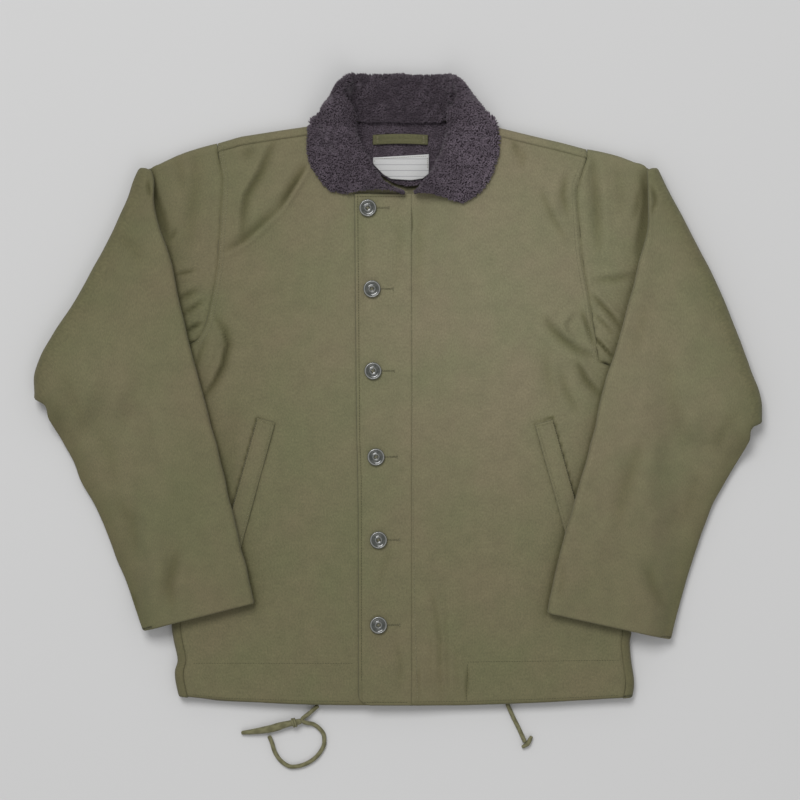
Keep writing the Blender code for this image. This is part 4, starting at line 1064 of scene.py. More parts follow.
def sleeve_relief(name, grid, stage, normal_up):
    """Height and shade that folds and seams add to the upper faces of a sleeve."""
    cut = SLEEVES[name]
    x, y = grid[..., 0], grid[..., 1]
    cap_height, cap_shade = folded(x, y, cut["cap_folds"])
    fold_height, fold_shade = folded(x, y, cut["folds"])
    out = stage < 1.5
    seam, part = away_from(cut["armhole"], x, y)
    seam = np.abs(seam)
    swell = swells(x, y, cut["swells"])
    cap = cap_height + swell * ease(stage / 0.1) * (1.0 - np.clip(stage, 0, 1))
    cap += seam_dip(seam, 0.9, 1.5) + 0.35 * bell(seam - 5.0, 3.0)
    cap += 0.7 * drift(part * 280.0, seam * 0.4, 7.0, 21) * bell(seam, 10.0)
    down = np.clip(stage - 2.0, 0.0, 1.0)
    back = fold_height + swell * ease((1.0 - down) / 0.1) * ease(down / 0.08)
    soft = 0.55 * drift(x + y * 0.35, y * 0.45, 42.0, 22) + 0.14 * drift(x, y, 10.0, 23)
    weight = ease((normal_up - 0.2) / 0.5)
    height = (np.where(out, cap, back) + soft) * weight
    # Painted shadow on the cap beside the inner edge of the folded-over sleeve, and painted shade
    # in the armhole seam.
    edge, _ = away_from(cut["inner_edge"], x, y)
    edge_shadow = 0.30 * bell(edge, 3.2) + 0.12 * bell(edge, 16.0)
    shade = np.where(out, cap_shade - 0.16 * bell(seam, 1.5) - edge_shadow, fold_shade)
    # Painted shade along the sleeve's outline, where it rounds away from the light.
    outline = cut["fold"] + cut["outer_edge"][1:]
    rim, _ = away_from(outline, x, y)
    height -= 2.2 * bell(rim, 15.0) * weight
    shade -= 0.17 * bell(rim, 19.0)
    return height, 1.0 - (1.0 - np.clip(shade, 0.4, 1.1)) * np.maximum(weight, 0.6)


def make_sleeve(name):
    side = -1 if name == "right" else 1
    grid = finer(finer(sleeve_grid(name), 3.4, 1, closed=True), 3.4, 0, near_start=4)
    stage, grid = grid[..., 3] * 100.0, grid[..., :3].copy()
    sign = -1.0 if side < 0 else 1.0
    normal = sign * normals_of(grid, closed=True)
    height, shade = sleeve_relief(name, grid, stage, normal[..., 2])
    grid[..., 2] += height
    outside = np.abs(normal[..., 2]) < 0.8
    wave = drift(grid[..., 1] * 1.0, grid[..., 0] * 0.2, 21.0, 31) * 0.9 * (stage > 1.0)
    grid[..., :2] += (normal[..., :2] * wave[..., None]) * outside[..., None]
    rows = len(grid)
    grid = turn_in(grid, 2.6, 13.0, side=sign, closed=True)
    shade = np.concatenate([shade[:len(shade) - 1], np.repeat(shade[-1:], len(grid) - rows + 1,
                                                              axis=0)])[:len(grid)]
    made = build(f"cloth_sleeve_{name}", grid, cloth, CLOTH, closed=True, flip=side < 0,
                 shade=shade)
    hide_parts(f"sleeve_{name}")
    return made


sleeves = {name: make_sleeve(name) for name in SLEEVES}

# %% [markdown]
# The placket is a double band of cloth over the edge of the right front. Its free edges
# are rounded, and stitched four millimetres in.

# %% Placket
def placket_top(x, y):
    return front_top(np.minimum(x, 5.0), y) + 0.4 + 3.0


def make_placket():
    levels = [2.4, 5.0, 12, 45, 80, 115, 150, 215, 300, 385, 470, 540, 590, 615.4]
    corner = [(2.4, 9.0), (5.0, 3.5), (12.0, 0.0)]
    rows = []
    for y in levels:
        edge = read(PLACKET_EDGE, y) + read(corner, y)
        row = []
        for part in (0, 0.1, 0.35, 0.6, 0.8, 1):
            x = edge + (8.7 - edge) * part
            low = read(HEM, x) + 0.2 if part and y == levels[0] else y
            row.append((x, low, 0.0))
        rows.append(row)
    grid = finer(finer(np.array(rows), 2.3, 1, near_end=2, near_start=3), 2.3, 0, near_end=4,
                 near_start=4)
    x, y = grid[..., 0], grid[..., 1]
    edge = x - read(PLACKET_EDGE, y)
    foot = y - read(HEM, x)
    top = 615.4 - y
    height, shade = folded(x, y, PLACKET_FOLDS)
    z = placket_top(x, y) + height + 0.16 * drift(x, y, 22.0, 41) + 0.08 * drift(x, y, 7.0, 42)
    for distance in (edge, foot, top):
        z += -1.9 * np.exp(-np.maximum(distance, 0.0) / 0.8)
        z += seam_dip(distance - 4.0, 0.45, 1.1) + 0.2 * bell(distance - 2.6, 1.4)
        # Painted shade in the stitched groove.
        shade -= 0.10 * bell(distance - 4.0, 1.2)
    z -= 0.35 * ease((x - 7.6) / 0.8)
    # Painted shade where the placket meets the front.
    shade -= 0.03 * bell(x - 8.2, 1.8)
    grid[..., 2] = z
    made = build("cloth_placket", grid, cloth, 2.4, flip=False, shade=np.clip(shade, 0.5, 1.1))
    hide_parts("placket")
    return made


PLACKET_FOLDS = [
    ([(362, 205), (364, 260), (362, 330)], 5.0, 5.0, -0.5, 0.2, 0.2, 0.03),
    ([(395, 200), (400, 240), (396, 285)], 8.0, 8.0, -0.6, 0.2, 0.2, 0.04),
    ([(390, 545), (384, 570), (378, 590)], 6.0, 6.0, -0.5, 0.2, 0.2, 0.04),
    ([(396, 640), (401, 665), (399, 690)], 5.0, 5.0, -0.6, 0.2, 0.2, 0.05),
]
placket = make_placket()

# %% [markdown]
# The pocket welts are narrow double strips, set slanting into the fronts. A thin box would
# do from far. A grid can be rounded at its edges and follow the swells below it.

# %% Welts
def make_welt(name):
    (x0, y0), (x1, y1) = WELTS[name]
    run = unit(np.array([x1 - x0, y1 - y0], float))
    across = np.array([run[1], -run[0]])
    length = math.hypot(x1 - x0, y1 - y0)
    ends = np.linspace(0, length, 66)
    sides = np.linspace(-WELT_WIDTH / 2, WELT_WIDTH / 2, 14)
    ends = np.sort(np.concatenate([ends, [0.7, length - 0.7]]))
    sides = np.sort(np.concatenate([sides, [-WELT_WIDTH / 2 + 0.6, WELT_WIDTH / 2 - 0.6]]))
    s, t = np.meshgrid(ends, sides, indexing="ij")
    x = x0 + run[0] * s + across[0] * t
    y = y0 + run[1] * s + across[1] * t
    z, shade = front_top(x, y) + 0.5 + 1.9, np.ones(x.shape)
    z += 0.12 * drift(x, y, 14.0, 51)
    for distance in (WELT_WIDTH / 2 - np.abs(t), s, length - s):
        z += -1.6 * np.exp(-np.maximum(distance, 0.0) / 0.6)
        z += seam_dip(distance - 2.8, 0.35, 0.9)
        # Painted shade in the stitched groove.
        shade -= 0.12 * bell(distance - 2.8, 1.0)
    grid = np.stack([x, y, z], axis=2)
    made = build(f"cloth_welt_{name}", grid, cloth, 1.6, flip=False, shade=np.clip(shade, 0.5, 1))
    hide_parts(f"pocket_welt_{name}")
    return made


welts = {name: make_welt(name) for name in WELTS}

# %% [markdown]
# The collar stands behind the neck, lies on its back at the top of the picture and turns
# over to both fronts. Its pile is thousands of small bent tufts on a backing that lies
# four millimetres inside the solid's surface, so that the tips reach as far as the solid.

# %% Collar
COLLAR_WALL, COLLAR_TURN, COLLAR_LEAN = 7.5, 8.3, math.radians(50.0)
COLLAR = [
    (-7.0, 618.2, 0.00, 0.5, -72.0, 616.3, None),
    (-19.0, 622.0, 0.00, 3.0, -90.0, 619.5, None),
    (-36.9, 630.3, 0.00, 6.0, -101.0, 629.0, None),
    (-49.3, 642.8, 0.00, 9.0, -111.0, 642.0, None),
    (-61.3, 657.8, 0.00, 12.0, -117.0, 657.0, None),
    (-72.3, 674.0, 0.00, 14.0, -118.9, 676.0, None),
    (-80.0, 693.0, 0.08, 16.0, -117.0, 694.5, None),
    (-79.0, 700.0, 0.40, 22.0, -112.5, 705.5, 25.0),
    (-75.0, 704.0, 0.75, 30.0, -104.0, 717.0, 21.0),
    (-70.0, 705.0, 1.05, 38.0, -94.0, 730.0, 16.0),
    (-65.0, 704.0, 1.40, 45.0, -84.0, 742.0, 11.0),
    (-60.0, 702.6, 1.75, 50.0, -70.0, 733.0, 6.0),
    (-50.0, 701.4, 2.00, 51.4, -50.0, 717.0, 1.6),
    (-27.0, 701.0, 2.00, 51.6, -26.0, 716.0, 1.6),
    (-4.0, 701.0, 2.00, 51.8, -4.0, 716.0, 1.6),
    (19.0, 701.0, 2.00, 51.0, 18.0, 716.0, 1.6),
    (41.0, 701.4, 2.00, 50.6, 41.0, 717.0, 1.6),
    (51.0, 702.6, 1.75, 49.0, 60.0, 733.0, 6.0),
    (56.0, 704.0, 1.40, 45.0, 75.0, 742.0, 11.0),
    (61.0, 705.0, 1.05, 38.0, 87.0, 731.0, 16.0),
    (67.0, 704.0, 0.75, 30.0, 98.0, 719.0, 21.0),
    (71.5, 700.5, 0.40, 22.0, 108.0, 708.0, 25.0),
    (73.5, 694.0, 0.08, 16.0, 114.5, 693.5, None),
    (68.5, 678.5, 0.00, 14.0, 115.8, 675.0, None),
    (61.7, 663.8, 0.00, 12.0, 113.5, 658.0, None),
    (48.9, 643.2, 0.00, 9.0, 106.0, 637.0, None),
    (35.9, 629.3, 0.00, 6.0, 97.0, 622.0, None),
    (24.9, 620.3, 0.00, 3.0, 86.0, 611.0, None),
    (17.2, 616.0, 0.00, 0.5, 68.0, 604.0, None),
]


def height_at(x, y):
    return float(front_top(np.array([x]), np.array([y]))[0])


def collar_section(station):
    seam_x, seam_y, lie, length, edge_x, edge_y, edge_z = station
    side = -1 if seam_x < 0 else 1
    outward = Vector((edge_x - seam_x, edge_y - seam_y, 0)).normalized()
    up = Vector((0, 0, 1))
    on_front = (-outward, up)
    standing = (Vector((0, math.sin(COLLAR_LEAN), math.cos(COLLAR_LEAN))), Vector((side, 0, 0)))
    on_back = (Vector((0, 1, 0)), -up)
    low, high, part = (on_front, standing, lie) if lie <= 1 else (standing, on_back, lie - 1)
    stand = low[0].lerp(high[0], part).normalized()
    over = low[1].lerp(high[1], part)
    over = (over - over.dot(stand) * stand).normalized()
    rest = height_at(seam_x, min(seam_y, 690.0)) + 0.6
    seam_z = rest if lie < 1 else rest + (18.0 - rest) * (lie - 1)
    if edge_z is None:
        edge_z = height_at(edge_x, min(edge_y, 685.0)) + 0.8 + COLLAR_WALL
    seam = Vector((seam_x, seam_y, seam_z))
    edge = Vector((edge_x, edge_y, edge_z))
    centre = seam + length * stand + COLLAR_TURN * over
    aim = edge.copy()
    aim.z = centre.z + COLLAR_TURN + (edge.z - centre.z - COLLAR_TURN) * min(1.0, lie)
    along_stand, across = (aim - centre).dot(stand), (aim - centre).dot(over)
    angle = (math.atan2(across, along_stand) + math.pi / 2
             - math.acos(COLLAR_TURN / math.hypot(along_stand, across)))
    section = [seam + share * length * stand for share in (0, 0.35, 0.7)]
    for step in range(7):
        turn = angle * step / 6
        section.append(centre + COLLAR_TURN * (math.sin(turn) * stand - math.cos(turn) * over))
    start = section[-1].copy()
    fall = (edge - start).length
    for share in (0.2, 0.4, 0.6, 0.8, 1.0):
        point = start.lerp(edge, share)
        if lie < 1:
            past = (share * fall - length - 2.0) / (fall - length - 2.0)
            held = start.z + (edge.z - start.z) * float(ease(past * 1.2))
            point.z = held + (point.z - held) * lie
        section.append(point)
    return [tuple(point) for point in section]


def tufts(name, grid, normals, density, height, seed, pale=None):
    """Small bent three-sided tufts all over a grid of roots. Pale, from 0 to 1, says
    where on the grid they are lighter."""
    random = np.random.RandomState(seed)
    a, b = grid[:-1, :-1].reshape(-1, 3), grid[:-1, 1:].reshape(-1, 3)
    c, d = grid[1:, 1:].reshape(-1, 3), grid[1:, :-1].reshape(-1, 3)
    area = np.linalg.norm(np.cross(c - a, d - b), axis=1) / 2
    count = int(area.sum() * density)
    cell = np.searchsorted(np.cumsum(area), random.uniform(0, area.sum(), count))
    cell = np.minimum(cell, len(area) - 1)
    u, v = random.uniform(0, 1, (2, count, 1))
    def at(values):
        corners = [values[:-1, :-1], values[:-1, 1:], values[1:, 1:], values[1:, :-1]]
        p, q, r, s = (part.reshape(-1, values.shape[2])[cell] for part in corners)
        return (p * (1 - v) + q * v) * (1 - u) + (s * (1 - v) + r * v) * u
    root, normal = at(grid), at(normals)
    paler = 0.25 if pale is None else at(pale[..., None])[:, 0]
    normal /= np.linalg.norm(normal, axis=1, keepdims=True)
    side = np.cross(normal, random.normal(size=(count, 3)))
    side /= np.linalg.norm(side, axis=1, keepdims=True)
    other = np.cross(normal, side)
    place = root @ np.array([[0.83, 0.41, 0.37], [-0.31, 0.88, 0.35], [0.46, -0.22, 0.86]])
    lean = np.stack([drift(place[:, 0], place[:, 1] + place[:, 2], 6.5, seed + 1),
                     drift(place[:, 1], place[:, 0] - place[:, 2], 6.5, seed + 2),
                     drift(place[:, 2], place[:, 0] + place[:, 1], 6.5, seed + 3)], axis=1)
    lean = 1.2 * lean + 0.38 * random.normal(size=(count, 3))
    lean -= (lean * normal).sum(axis=1, keepdims=True) * normal
    clump = drift(place[:, 0] + 40, place[:, 1] - place[:, 2], 5.0, seed + 4)
    tall = height * (0.82 + 0.22 * clump + 0.11 * random.uniform(-1, 1, count))[:, None]
    bend = normal + 0.35 * lean
    middle = root + 0.55 * tall * bend / np.linalg.norm(bend, axis=1, keepdims=True)
    bend = 0.65 * normal + lean
    point = middle + 0.5 * tall * bend / np.linalg.norm(bend, axis=1, keepdims=True)
    corners = []
    for centre_at, width in ((root, 0.92), (middle, 0.84)):
        for turn in range(3):
            angle = turn * 2 * math.pi / 3
            corners.append(centre_at + width * (math.cos(angle) * side + math.sin(angle) * other))
    points = np.stack(corners + [point], axis=1)
    pattern = [(0, 1, 4, 3), (1, 2, 5, 4), (2, 0, 3, 5)], [(3, 4, 6), (4, 5, 6), (5, 3, 6)]
    first = (np.arange(count) * 7)[:, None, None]
    quads = (first + np.array(pattern[0])[None]).reshape(-1, 4)
    points_up = (first + np.array(pattern[1])[None]).reshape(-1, 3)
    mesh = bpy.data.meshes.new(name)
    place = (points.reshape(-1, 3) + SHIFT) * MM
    mesh.vertices.add(len(place))
    mesh.vertices.foreach_set("co", place.ravel())
    corners = np.concatenate([quads.ravel(), points_up.ravel()])
    mesh.loops.add(len(corners))
    mesh.loops.foreach_set("vertex_index", corners)
    starts = np.concatenate([np.arange(len(quads)) * 4,
                             len(quads) * 4 + np.arange(len(points_up)) * 3])
    mesh.polygons.add(len(starts))
    mesh.polygons.foreach_set("loop_start", starts)
    mesh.update(calc_edges=True)
    mesh.validate()
    # Each tuft's tone: painted light by place from paler, and a random tone of its own.
    own = 0.08 + 0.50 * paler + 0.20 * clump + 0.13 * random.uniform(-1, 1, count)
    own = np.clip(own, 0, 1)
    up = np.array([0, 0, 0, 0.6, 0.6, 0.6, 1.0])
    layer = mesh.uv_layers.new(name="panel")
    layer.data.foreach_set("uv", np.stack([own[corners // 7], up[corners % 7]], axis=1).ravel())
    mesh.materials.append(pile)
    mesh.shade_smooth()
    made = in_scene(name, mesh)
    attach(made, BODY)
    print(f"{name}: {count} tufts")
    return made


PILE_HEIGHT = 4.6
TUFT_DENSITY = 0.62                         # tufts on a square millimetre of the collar
sections = finer(finer(np.array([collar_section(s) for s in COLLAR]), 3.0, 1), 3.0, 0)
outward = normals_of(sections)
if outward[len(outward) // 2, 2, 2] < 0:
    outward = -outward
roots = sections - outward * (PILE_HEIGHT - 0.6)
roots[:, -1] = roots[:, -2] + (roots[:, -1] - roots[:, -2]) * 0.2
turned = np.swapaxes(turn_in(np.swapaxes(roots, 0, 1), 1.4, 8.0, side=1.0, steps=5), 0, 1)
print("collar grid", sections.shape, turned.shape)
collar_back = build("collar_backing", turned, backing, 1.6, flip=True)
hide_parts("collar")
half_way = len(turned) // 2
turned_normals = normals_of(turned)
if turned_normals[len(turned) // 2, 2, 2] < 0:
    turned_normals = -turned_normals
shown = turned.shape[1] - 3
fallen = ease((np.arange(turned.shape[1]) / (turned.shape[1] - 8) - 0.34) / 0.22)
# Painted light and shade: the fallen leaves are paler than the standing collar,
# and the left leaf, lit more, is palest.
left_leaf_light = 1.0 + 1.1 * ease((turned[..., 0] - 20.0) / 60.0)
pale = (0.14 + 0.52 * fallen) * left_leaf_light
LEAVES = [("right", 0, half_way + 1, 61), ("left", half_way, len(turned), 71)]
for leaf, first, last, seed in LEAVES:
    tufts(f"collar_pile_{leaf}", turned[first:last, :shown], turned_normals[first:last, :shown],
          TUFT_DENSITY, PILE_HEIGHT, seed, pale[first:last, :shown])

# %% [markdown]
# Inside the neck the lining shows, of the same pile but shorter, with the label and the
# loop that the jacket is hung by.

# %% Neck lining
LINING_TOP = 9.9
LINING_EDGE = [(624, 5, 5), (628, -12, 22), (637, -27, 30), (651, -41, 43), (668, -53, 54),
               (686, -63, 62), (698, -66, 64), (702.5, -72, 70)]
levels = np.linspace(624.6, 702.3, 40)
low_x = np.interp(levels, [row[0] for row in LINING_EDGE], [row[1] for row in LINING_EDGE])
high_x = np.interp(levels, [row[0] for row in LINING_EDGE], [row[2] for row in LINING_EDGE])
shares = np.linspace(0, 1, 50)
grid = np.zeros((40, 50, 3))
grid[..., 0] = low_x[:, None] + (high_x - low_x)[:, None] * shares
grid[..., 1] = levels[:, None]
grid[..., 2] = 7.6 + 0.3 * drift(grid[..., 0], grid[..., 1], 15.0, 81)
lining = build("lining_backing", grid, backing, 1.0, flip=False)
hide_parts("neck_lining")
flat_up = np.zeros_like(grid) + [0.0, 0.0, 1.0]
tufts("lining_pile", grid, flat_up, 0.60, 2.9, 83, np.full(grid.shape[:2], 0.62))

# %% [markdown]
# The label is a small white cotton sheet with thin ruled lines, stitched along its top and
# down its ends. The lines are a wave across it, of which only the crests show.

# %% Label
RULE_PITCH = 7.0
label_cloth, tree, shader = finish("label cotton", roughness=0.7)
weave = noise(tree, on_panel(tree), 1400.0, 2.0)
white = tones(tree, ramp(tree, weave, 0.3, 0.7), (0.440, 0.440, 0.435), (0.560, 0.560, 0.560))
ruled = node(tree, "ShaderNodeTexWave", {"Vector": in_place(tree)}, Scale=bands(RULE_PITCH),
             bands_direction="Y").outputs["Fac"]
white = mix(tree, ramp(tree, ruled, 0.965, 0.99), white, (0.26, 0.26, 0.27, 1.0))
dress(tree, shader, white, weave, 0.3, 0.0003)
s, t = np.meshgrid(np.linspace(0, 1, 24), np.linspace(0, 1, 40), indexing="ij")
low_edge = np.array([(-38, 651.5), (-25.5, 638.5), (-16, 633), (8, 631.5), (22, 633.5),
                     (29.8, 640)])
x = -37.8 + t * 67.2
bottom = np.interp(x, low_edge[:, 0], low_edge[:, 1])
top = 658.8 + (x + 37.8) / 67.2 * 4.0
y = bottom + (top - bottom) * s
z = LINING_TOP + 0.9 + 0.25 * drift(x, y, 18.0, 84) + 0.12 * drift(x, y, 6.0, 85)
label = build("cloth_label", np.stack([x, y, z], axis=2), label_cloth, 0.5, flip=False)
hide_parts("label")

# %% [markdown]
# The hanger loop is a strip of the same cloth in a darker dye, sewn down with a bar of
# stitches at both ends. It rises a little between them, and a groove runs along its middle.

# %% Hanger loop
s, t = np.meshgrid(np.linspace(0, 1, 46), np.linspace(-1, 1, 11), indexing="ij")
arch = np.sin(math.pi * s)
x, y = -38.2 + 66.4 * s, 680.0 + 1.2 * arch + 6.0 * t
z = LINING_TOP + 1.5 + 1.4 * arch + 0.5 * (1 - t**2) - 0.9 * bell(t, 0.16)
loop = build("cloth_hanger_loop", np.stack([x, y, z], axis=2), tape, 0.9, flip=True)
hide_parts("hanger_loop")

# %% [markdown]
# The buttons are turned from a disc by inset and extrude steps, as on a small lathe, drilled
# four times, and each is sewn on with a crossed thread. Their horn is dark and polished,
# and the attribute called shade paints a pale highlight round the rim and round the dish.

# %% Button finish
horn, tree, shader = finish("green horn with painted highlights", roughness=0.20, specular=0.7)
shader.inputs["Coat Weight"].default_value = 0.5
shader.inputs["Coat Roughness"].default_value = 0.15
cloud = noise(tree, in_place(tree), 260.0, 3.0)
dark = tones(tree, ramp(tree, cloud, 0.35, 0.65), (0.020, 0.024, 0.019), (0.060, 0.063, 0.054))
# Painted highlight: where shade is high the horn is mixed towards pale grey.
rim_highlight = node(tree, "ShaderNodeAttribute", attribute_name="shade").outputs["Fac"]
dress(tree, shader, mix(tree, rim_highlight, dark, (0.42, 0.42, 0.40, 1.0)))

# %% Buttons
BUTTONS = [(-44.0, 597.5), (-39.0, 500.4), (-37.8, 402.0), (-34.2, 298.8),
           (-31.2, 199.2), (-31.2, 97.2)]
BUTTON_STEPS = [(10.4, 2.2), (10.4, 2.8), (9.9, 3.4), (9.3, 3.7), (8.7, 3.6), (8.1, 3.0),
                (7.5, 2.6), (6.0, 2.5), (4.6, 2.45), (4.2, 2.9), (3.6, 3.15), (2.9, 3.0),
                (2.2, 2.7), (1.1, 2.6)]


def turned_button():
    """One button at the origin, its underside at z 0."""
    deselect()
    bpy.ops.mesh.primitive_circle_add(vertices=40, radius=9.2 * MM, fill_type="NGON")
    made = bpy.context.object
    bpy.ops.object.mode_set(mode="EDIT")
    bpy.ops.mesh.select_all(action="SELECT")
    radius, height = 9.2, 0.0
    for wide, high in BUTTON_STEPS:
        bpy.ops.mesh.extrude_region_move(
            TRANSFORM_OT_translate={"value": (0, 0, (high - height) * MM)})
        bpy.ops.transform.resize(value=(wide / radius, wide / radius, 1.0),
                                 center_override=(0.0, 0.0, high * MM))
        radius, height = wide, high
    bpy.ops.mesh.select_all(action="SELECT")
    bpy.ops.mesh.normals_make_consistent(inside=False)
    bpy.ops.object.mode_set(mode="OBJECT")
    for turn in range(4):
        angle = math.pi / 4 + turn * math.pi / 2
        deselect()
        bpy.ops.mesh.primitive_cylinder_add(
            vertices=12, radius=0.75 * MM, depth=9.0 * MM,
            location=(2.1 * MM * math.cos(angle), 2.1 * MM * math.sin(angle), 2.0 * MM))
        drill = bpy.context.object
        hole = made.modifiers.new("hole", "BOOLEAN")
        hole.object = drill
        apply_all(made)
        bpy.data.objects.remove(drill)
    made.data.materials.append(horn)
    radius_mm = np.array([np.hypot(v.co.x, v.co.y) / MM for v in made.data.vertices])
    high = np.array([v.co.z / MM for v in made.data.vertices])
    # Painted highlight: a pale ring on the top of the rim and one round the centre, on the upper
    # faces only.
    shine = 0.50 * bell(radius_mm - 9.2, 0.55) + 0.35 * bell(radius_mm - 3.7, 0.5)
    made.data.attributes.new("shade", "FLOAT", "POINT").data.foreach_set(
        "value", (shine * (high > 2.5)).astype(np.float32))
    made.data.shade_smooth()
    return made


def surface_over(names):
    """What a ray from above meets on the named pieces."""
    trees = []
    for name in names:
        trees.append(BVHTree.FromObject(bpy.data.objects[name],
                                        bpy.context.evaluated_depsgraph_get()))

    def top(x, y):
        start = Vector((x + SHIFT[0], y + SHIFT[1], 200.0)) * MM
        hits = [tree.ray_cast(start, Vector((0, 0, -1)))[0] for tree in trees]
        return max([hit.z / MM for hit in hits if hit is not None], default=BODY_DEPTH)
    return top


over_placket = surface_over(["cloth_placket"])
pattern = turned_button()
for number, (x, y) in enumerate(BUTTONS, start=1):
    base = max(over_placket(x + dx, y + dy) for dx in (-8, 0, 8) for dy in (-8, 0, 8)) + 0.35
    mesh = pattern.data.copy()
    turn = number * 0.7
    for vertex in mesh.vertices:
        px, py = vertex.co.x, vertex.co.y
        vertex.co.x = px * math.cos(turn) - py * math.sin(turn) + (x + SHIFT[0]) * MM
        vertex.co.y = px * math.sin(turn) + py * math.cos(turn) + (y + SHIFT[1]) * MM
        vertex.co.z += base * MM
    made = in_scene(f"turned_button_{number}", mesh)
    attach(made, BODY)
    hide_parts(f"button_{number}")
    for cross in range(2):
        angle = turn + math.pi / 4 + cross * math.pi / 2
        reach = np.linspace(-2.4, 2.4, 13)
        line = np.stack([x + reach * math.cos(angle), y + reach * math.sin(angle),
                         base + 2.5 + 0.7 * np.sqrt(np.clip(1 - (reach / 2.4) ** 2, 0, 1))
                         + 0.3 * cross], axis=1)
        sewn = tube(f"button_thread_{number}_{cross + 1}", line, 0.42, thread, sides=6)
bpy.data.objects.remove(pattern)

# %% [markdown]
# A buttonhole runs from under each button towards the wearer's left: one thread in a close
# zigzag, with a bar across its end.

# %% Buttonholes
for number, (x, y) in enumerate(BUTTONS, start=1):
    run = np.arange(0, 25.0, 0.45)
    weave = np.where(np.arange(len(run)) % 2, 1.0, -1.0)
    line = [(x + 1.0 + s, y + 0.2 + w * 1.0, over_placket(x + 1.0 + s, y) + 0.35)
            for s, w in zip(run, weave)]
    bar = [(x + 25.2 + 0.35 * (n % 2), y + 0.2 - 2.0 + n * 0.25, over_placket(x + 25, y) + 0.5)
           for n in range(17)]
    hole = tube(f"buttonhole_{number}", np.array(line), 0.26, thread, sides=5)
    end = tube(f"buttonhole_bar_{number}", np.array(bar), 0.32, thread, sides=5)

# %% [markdown]
# The seams are topstitched. A stitch is one small grain of thread, copied along a line and
# laid on whatever cloth is under it. Instances would be lighter, but the grains of one
# seam as one mesh can be exported as they are.

# %% Stitches


def stitches(name, lines, over, pitch=3.1, long=2.2, thick=0.42, sink=0.1, material=None):
    points, faces = [], []
    for line in lines:
        line = np.array(line, float)
        total = np.linalg.norm(np.diff(line, axis=0), axis=1).sum()
        for number in range(int(total / pitch)):
            middle = along(line, (number + 0.5) * pitch / total)
            ahead = unit(along(line, min(1.0, (number + 0.9) * pitch / total))
                         - along(line, (number + 0.1) * pitch / total))
            ends = [middle + ahead * long / 2 * s for s in (-1, 1)]
            heights = [over(*end) for end in ends]
            run = np.array([*(ends[1] - ends[0]), heights[1] - heights[0]])
            centre_at = np.array([*middle, sum(heights) / 2 + thick * 0.5 - sink])
            forward = unit(run)
            side = unit(np.cross([0.0, 0.0, 1.0], forward))
            up = np.cross(forward, side)
            first = len(points)
            points.append(centre_at - forward * long / 2)
            for share in (-0.6, 0.6):
                for turn in range(5):
                    angle = turn * 2 * math.pi / 5
                    points.append(centre_at + forward * share * long / 2
                                  + thick * (math.cos(angle) * side + math.sin(angle) * up))
            points.append(centre_at + forward * long / 2)
            for turn in range(5):
                after = (turn + 1) % 5
                faces.append((first, first + 1 + after, first + 1 + turn))
                faces.append((first + 1 + turn, first + 1 + after, first + 6 + after,
                              first + 6 + turn))
                faces.append((first + 11, first + 6 + turn, first + 6 + after))
    mesh = bpy.data.meshes.new(name)
    mesh.from_pydata(((np.array(points) + SHIFT) * MM).tolist(), [], faces)
    mesh.materials.append(material or thread)
    mesh.shade_smooth()
    made = in_scene(name, mesh)
    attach(made, BODY)
    print(f"{name}: {len(faces) // 15} stitches")
    return made


def beside(line, offset, step=4.0):
    """A line at a distance to the left of another."""
    line = route_through(np.column_stack([np.array(line, float), np.zeros(len(line))]), step)[:, :2]
    heading = np.gradient(line, axis=0)
    heading /= np.linalg.norm(heading, axis=1, keepdims=True)
    return line + offset * np.column_stack([-heading[:, 1], heading[:, 0]])


over_fronts = surface_over(["cloth_front_right", "cloth_front_left", "cloth_placket"])
armhole_lines = []
for name, side in (("right", 1.0), ("left", -1.0)):
    seam = [(x, y) for y, x in ARMHOLE[name] if y > (437 if name == "right" else 411)]
    armhole_lines += [beside(seam, -side * 2.2), beside(seam, -side * 6.0)]
stitches("stitches_armholes", armhole_lines, over_fronts, thick=0.36)
edge = [(x, y) for y, x in PLACKET_EDGE]
edge = [(x + 4.0, y) for x, y in edge if y > 10]
foot = [(x, read(HEM, x) + 4.2) for x in np.linspace(-49, 6, 12)]
head = [(x, 611.3) for x in np.linspace(-54.5, 4, 6)]
stitches("stitches_placket", [edge, foot, head], over_fronts, thick=0.30, material=shaded_thread)
right_line = [spot(*p) for p in ((411.5, 197), (410.6, 222), (411, 300), (412, 360), (412.6, 430),
                                 (413.2, 520), (414.6, 600), (417.4, 700))]
stitches("stitches_facing", [right_line], over_fronts, thick=0.34)
hem_lines = [[(x, read(HEM, x) + 5.0) for x in np.linspace(-255, -64, 30)],
             [(x, read(HEM, x) + 5.0) for x in np.linspace(12, 258, 36)],
             [(x, 51.6 + 0.012 * abs(x)) for x in np.linspace(75, 258, 24)],
             [(x, 51.0) for x in np.linspace(-62, -256, 24)],
             [spot(467.5, 664), spot(466.8, 690), spot(466.5, 701)]]
stitches("stitches_hem", hem_lines, over_fronts, thick=0.30, sink=0.2, material=shaded_thread)
over_welts = surface_over(["cloth_welt_right", "cloth_welt_left"])
welt_lines, mouth_lines = [], []
for name in WELTS:
    (x0, y0), (x1, y1) = WELTS[name]
    run = unit(np.array([x1 - x0, y1 - y0], float))
    across = np.array([run[1], -run[0]])
    start, end = np.array([x0, y0]) + run * 2.8, np.array([x1, y1]) - run * 2.8
    inset = WELT_WIDTH / 2 - 2.8
    mouth = 1.0 if name == "right" else -1.0
    welt_lines += [[start - across * inset * mouth, end - across * inset * mouth],
                   [start - across * inset, start + across * inset]]
    edge = across * (WELT_WIDTH / 2 - 0.9) * mouth
    mouth_lines.append([start + edge, end + edge])
stitches("stitches_welts", welt_lines, over_welts, thick=0.34)
stitches("stitches_pockets", mouth_lines, over_welts, thick=0.42, material=shaded_thread)
over_loop = surface_over(["cloth_hanger_loop"])
LOOP_ENDS = [(-33.0, 675.5), (22.5, 675.5)]
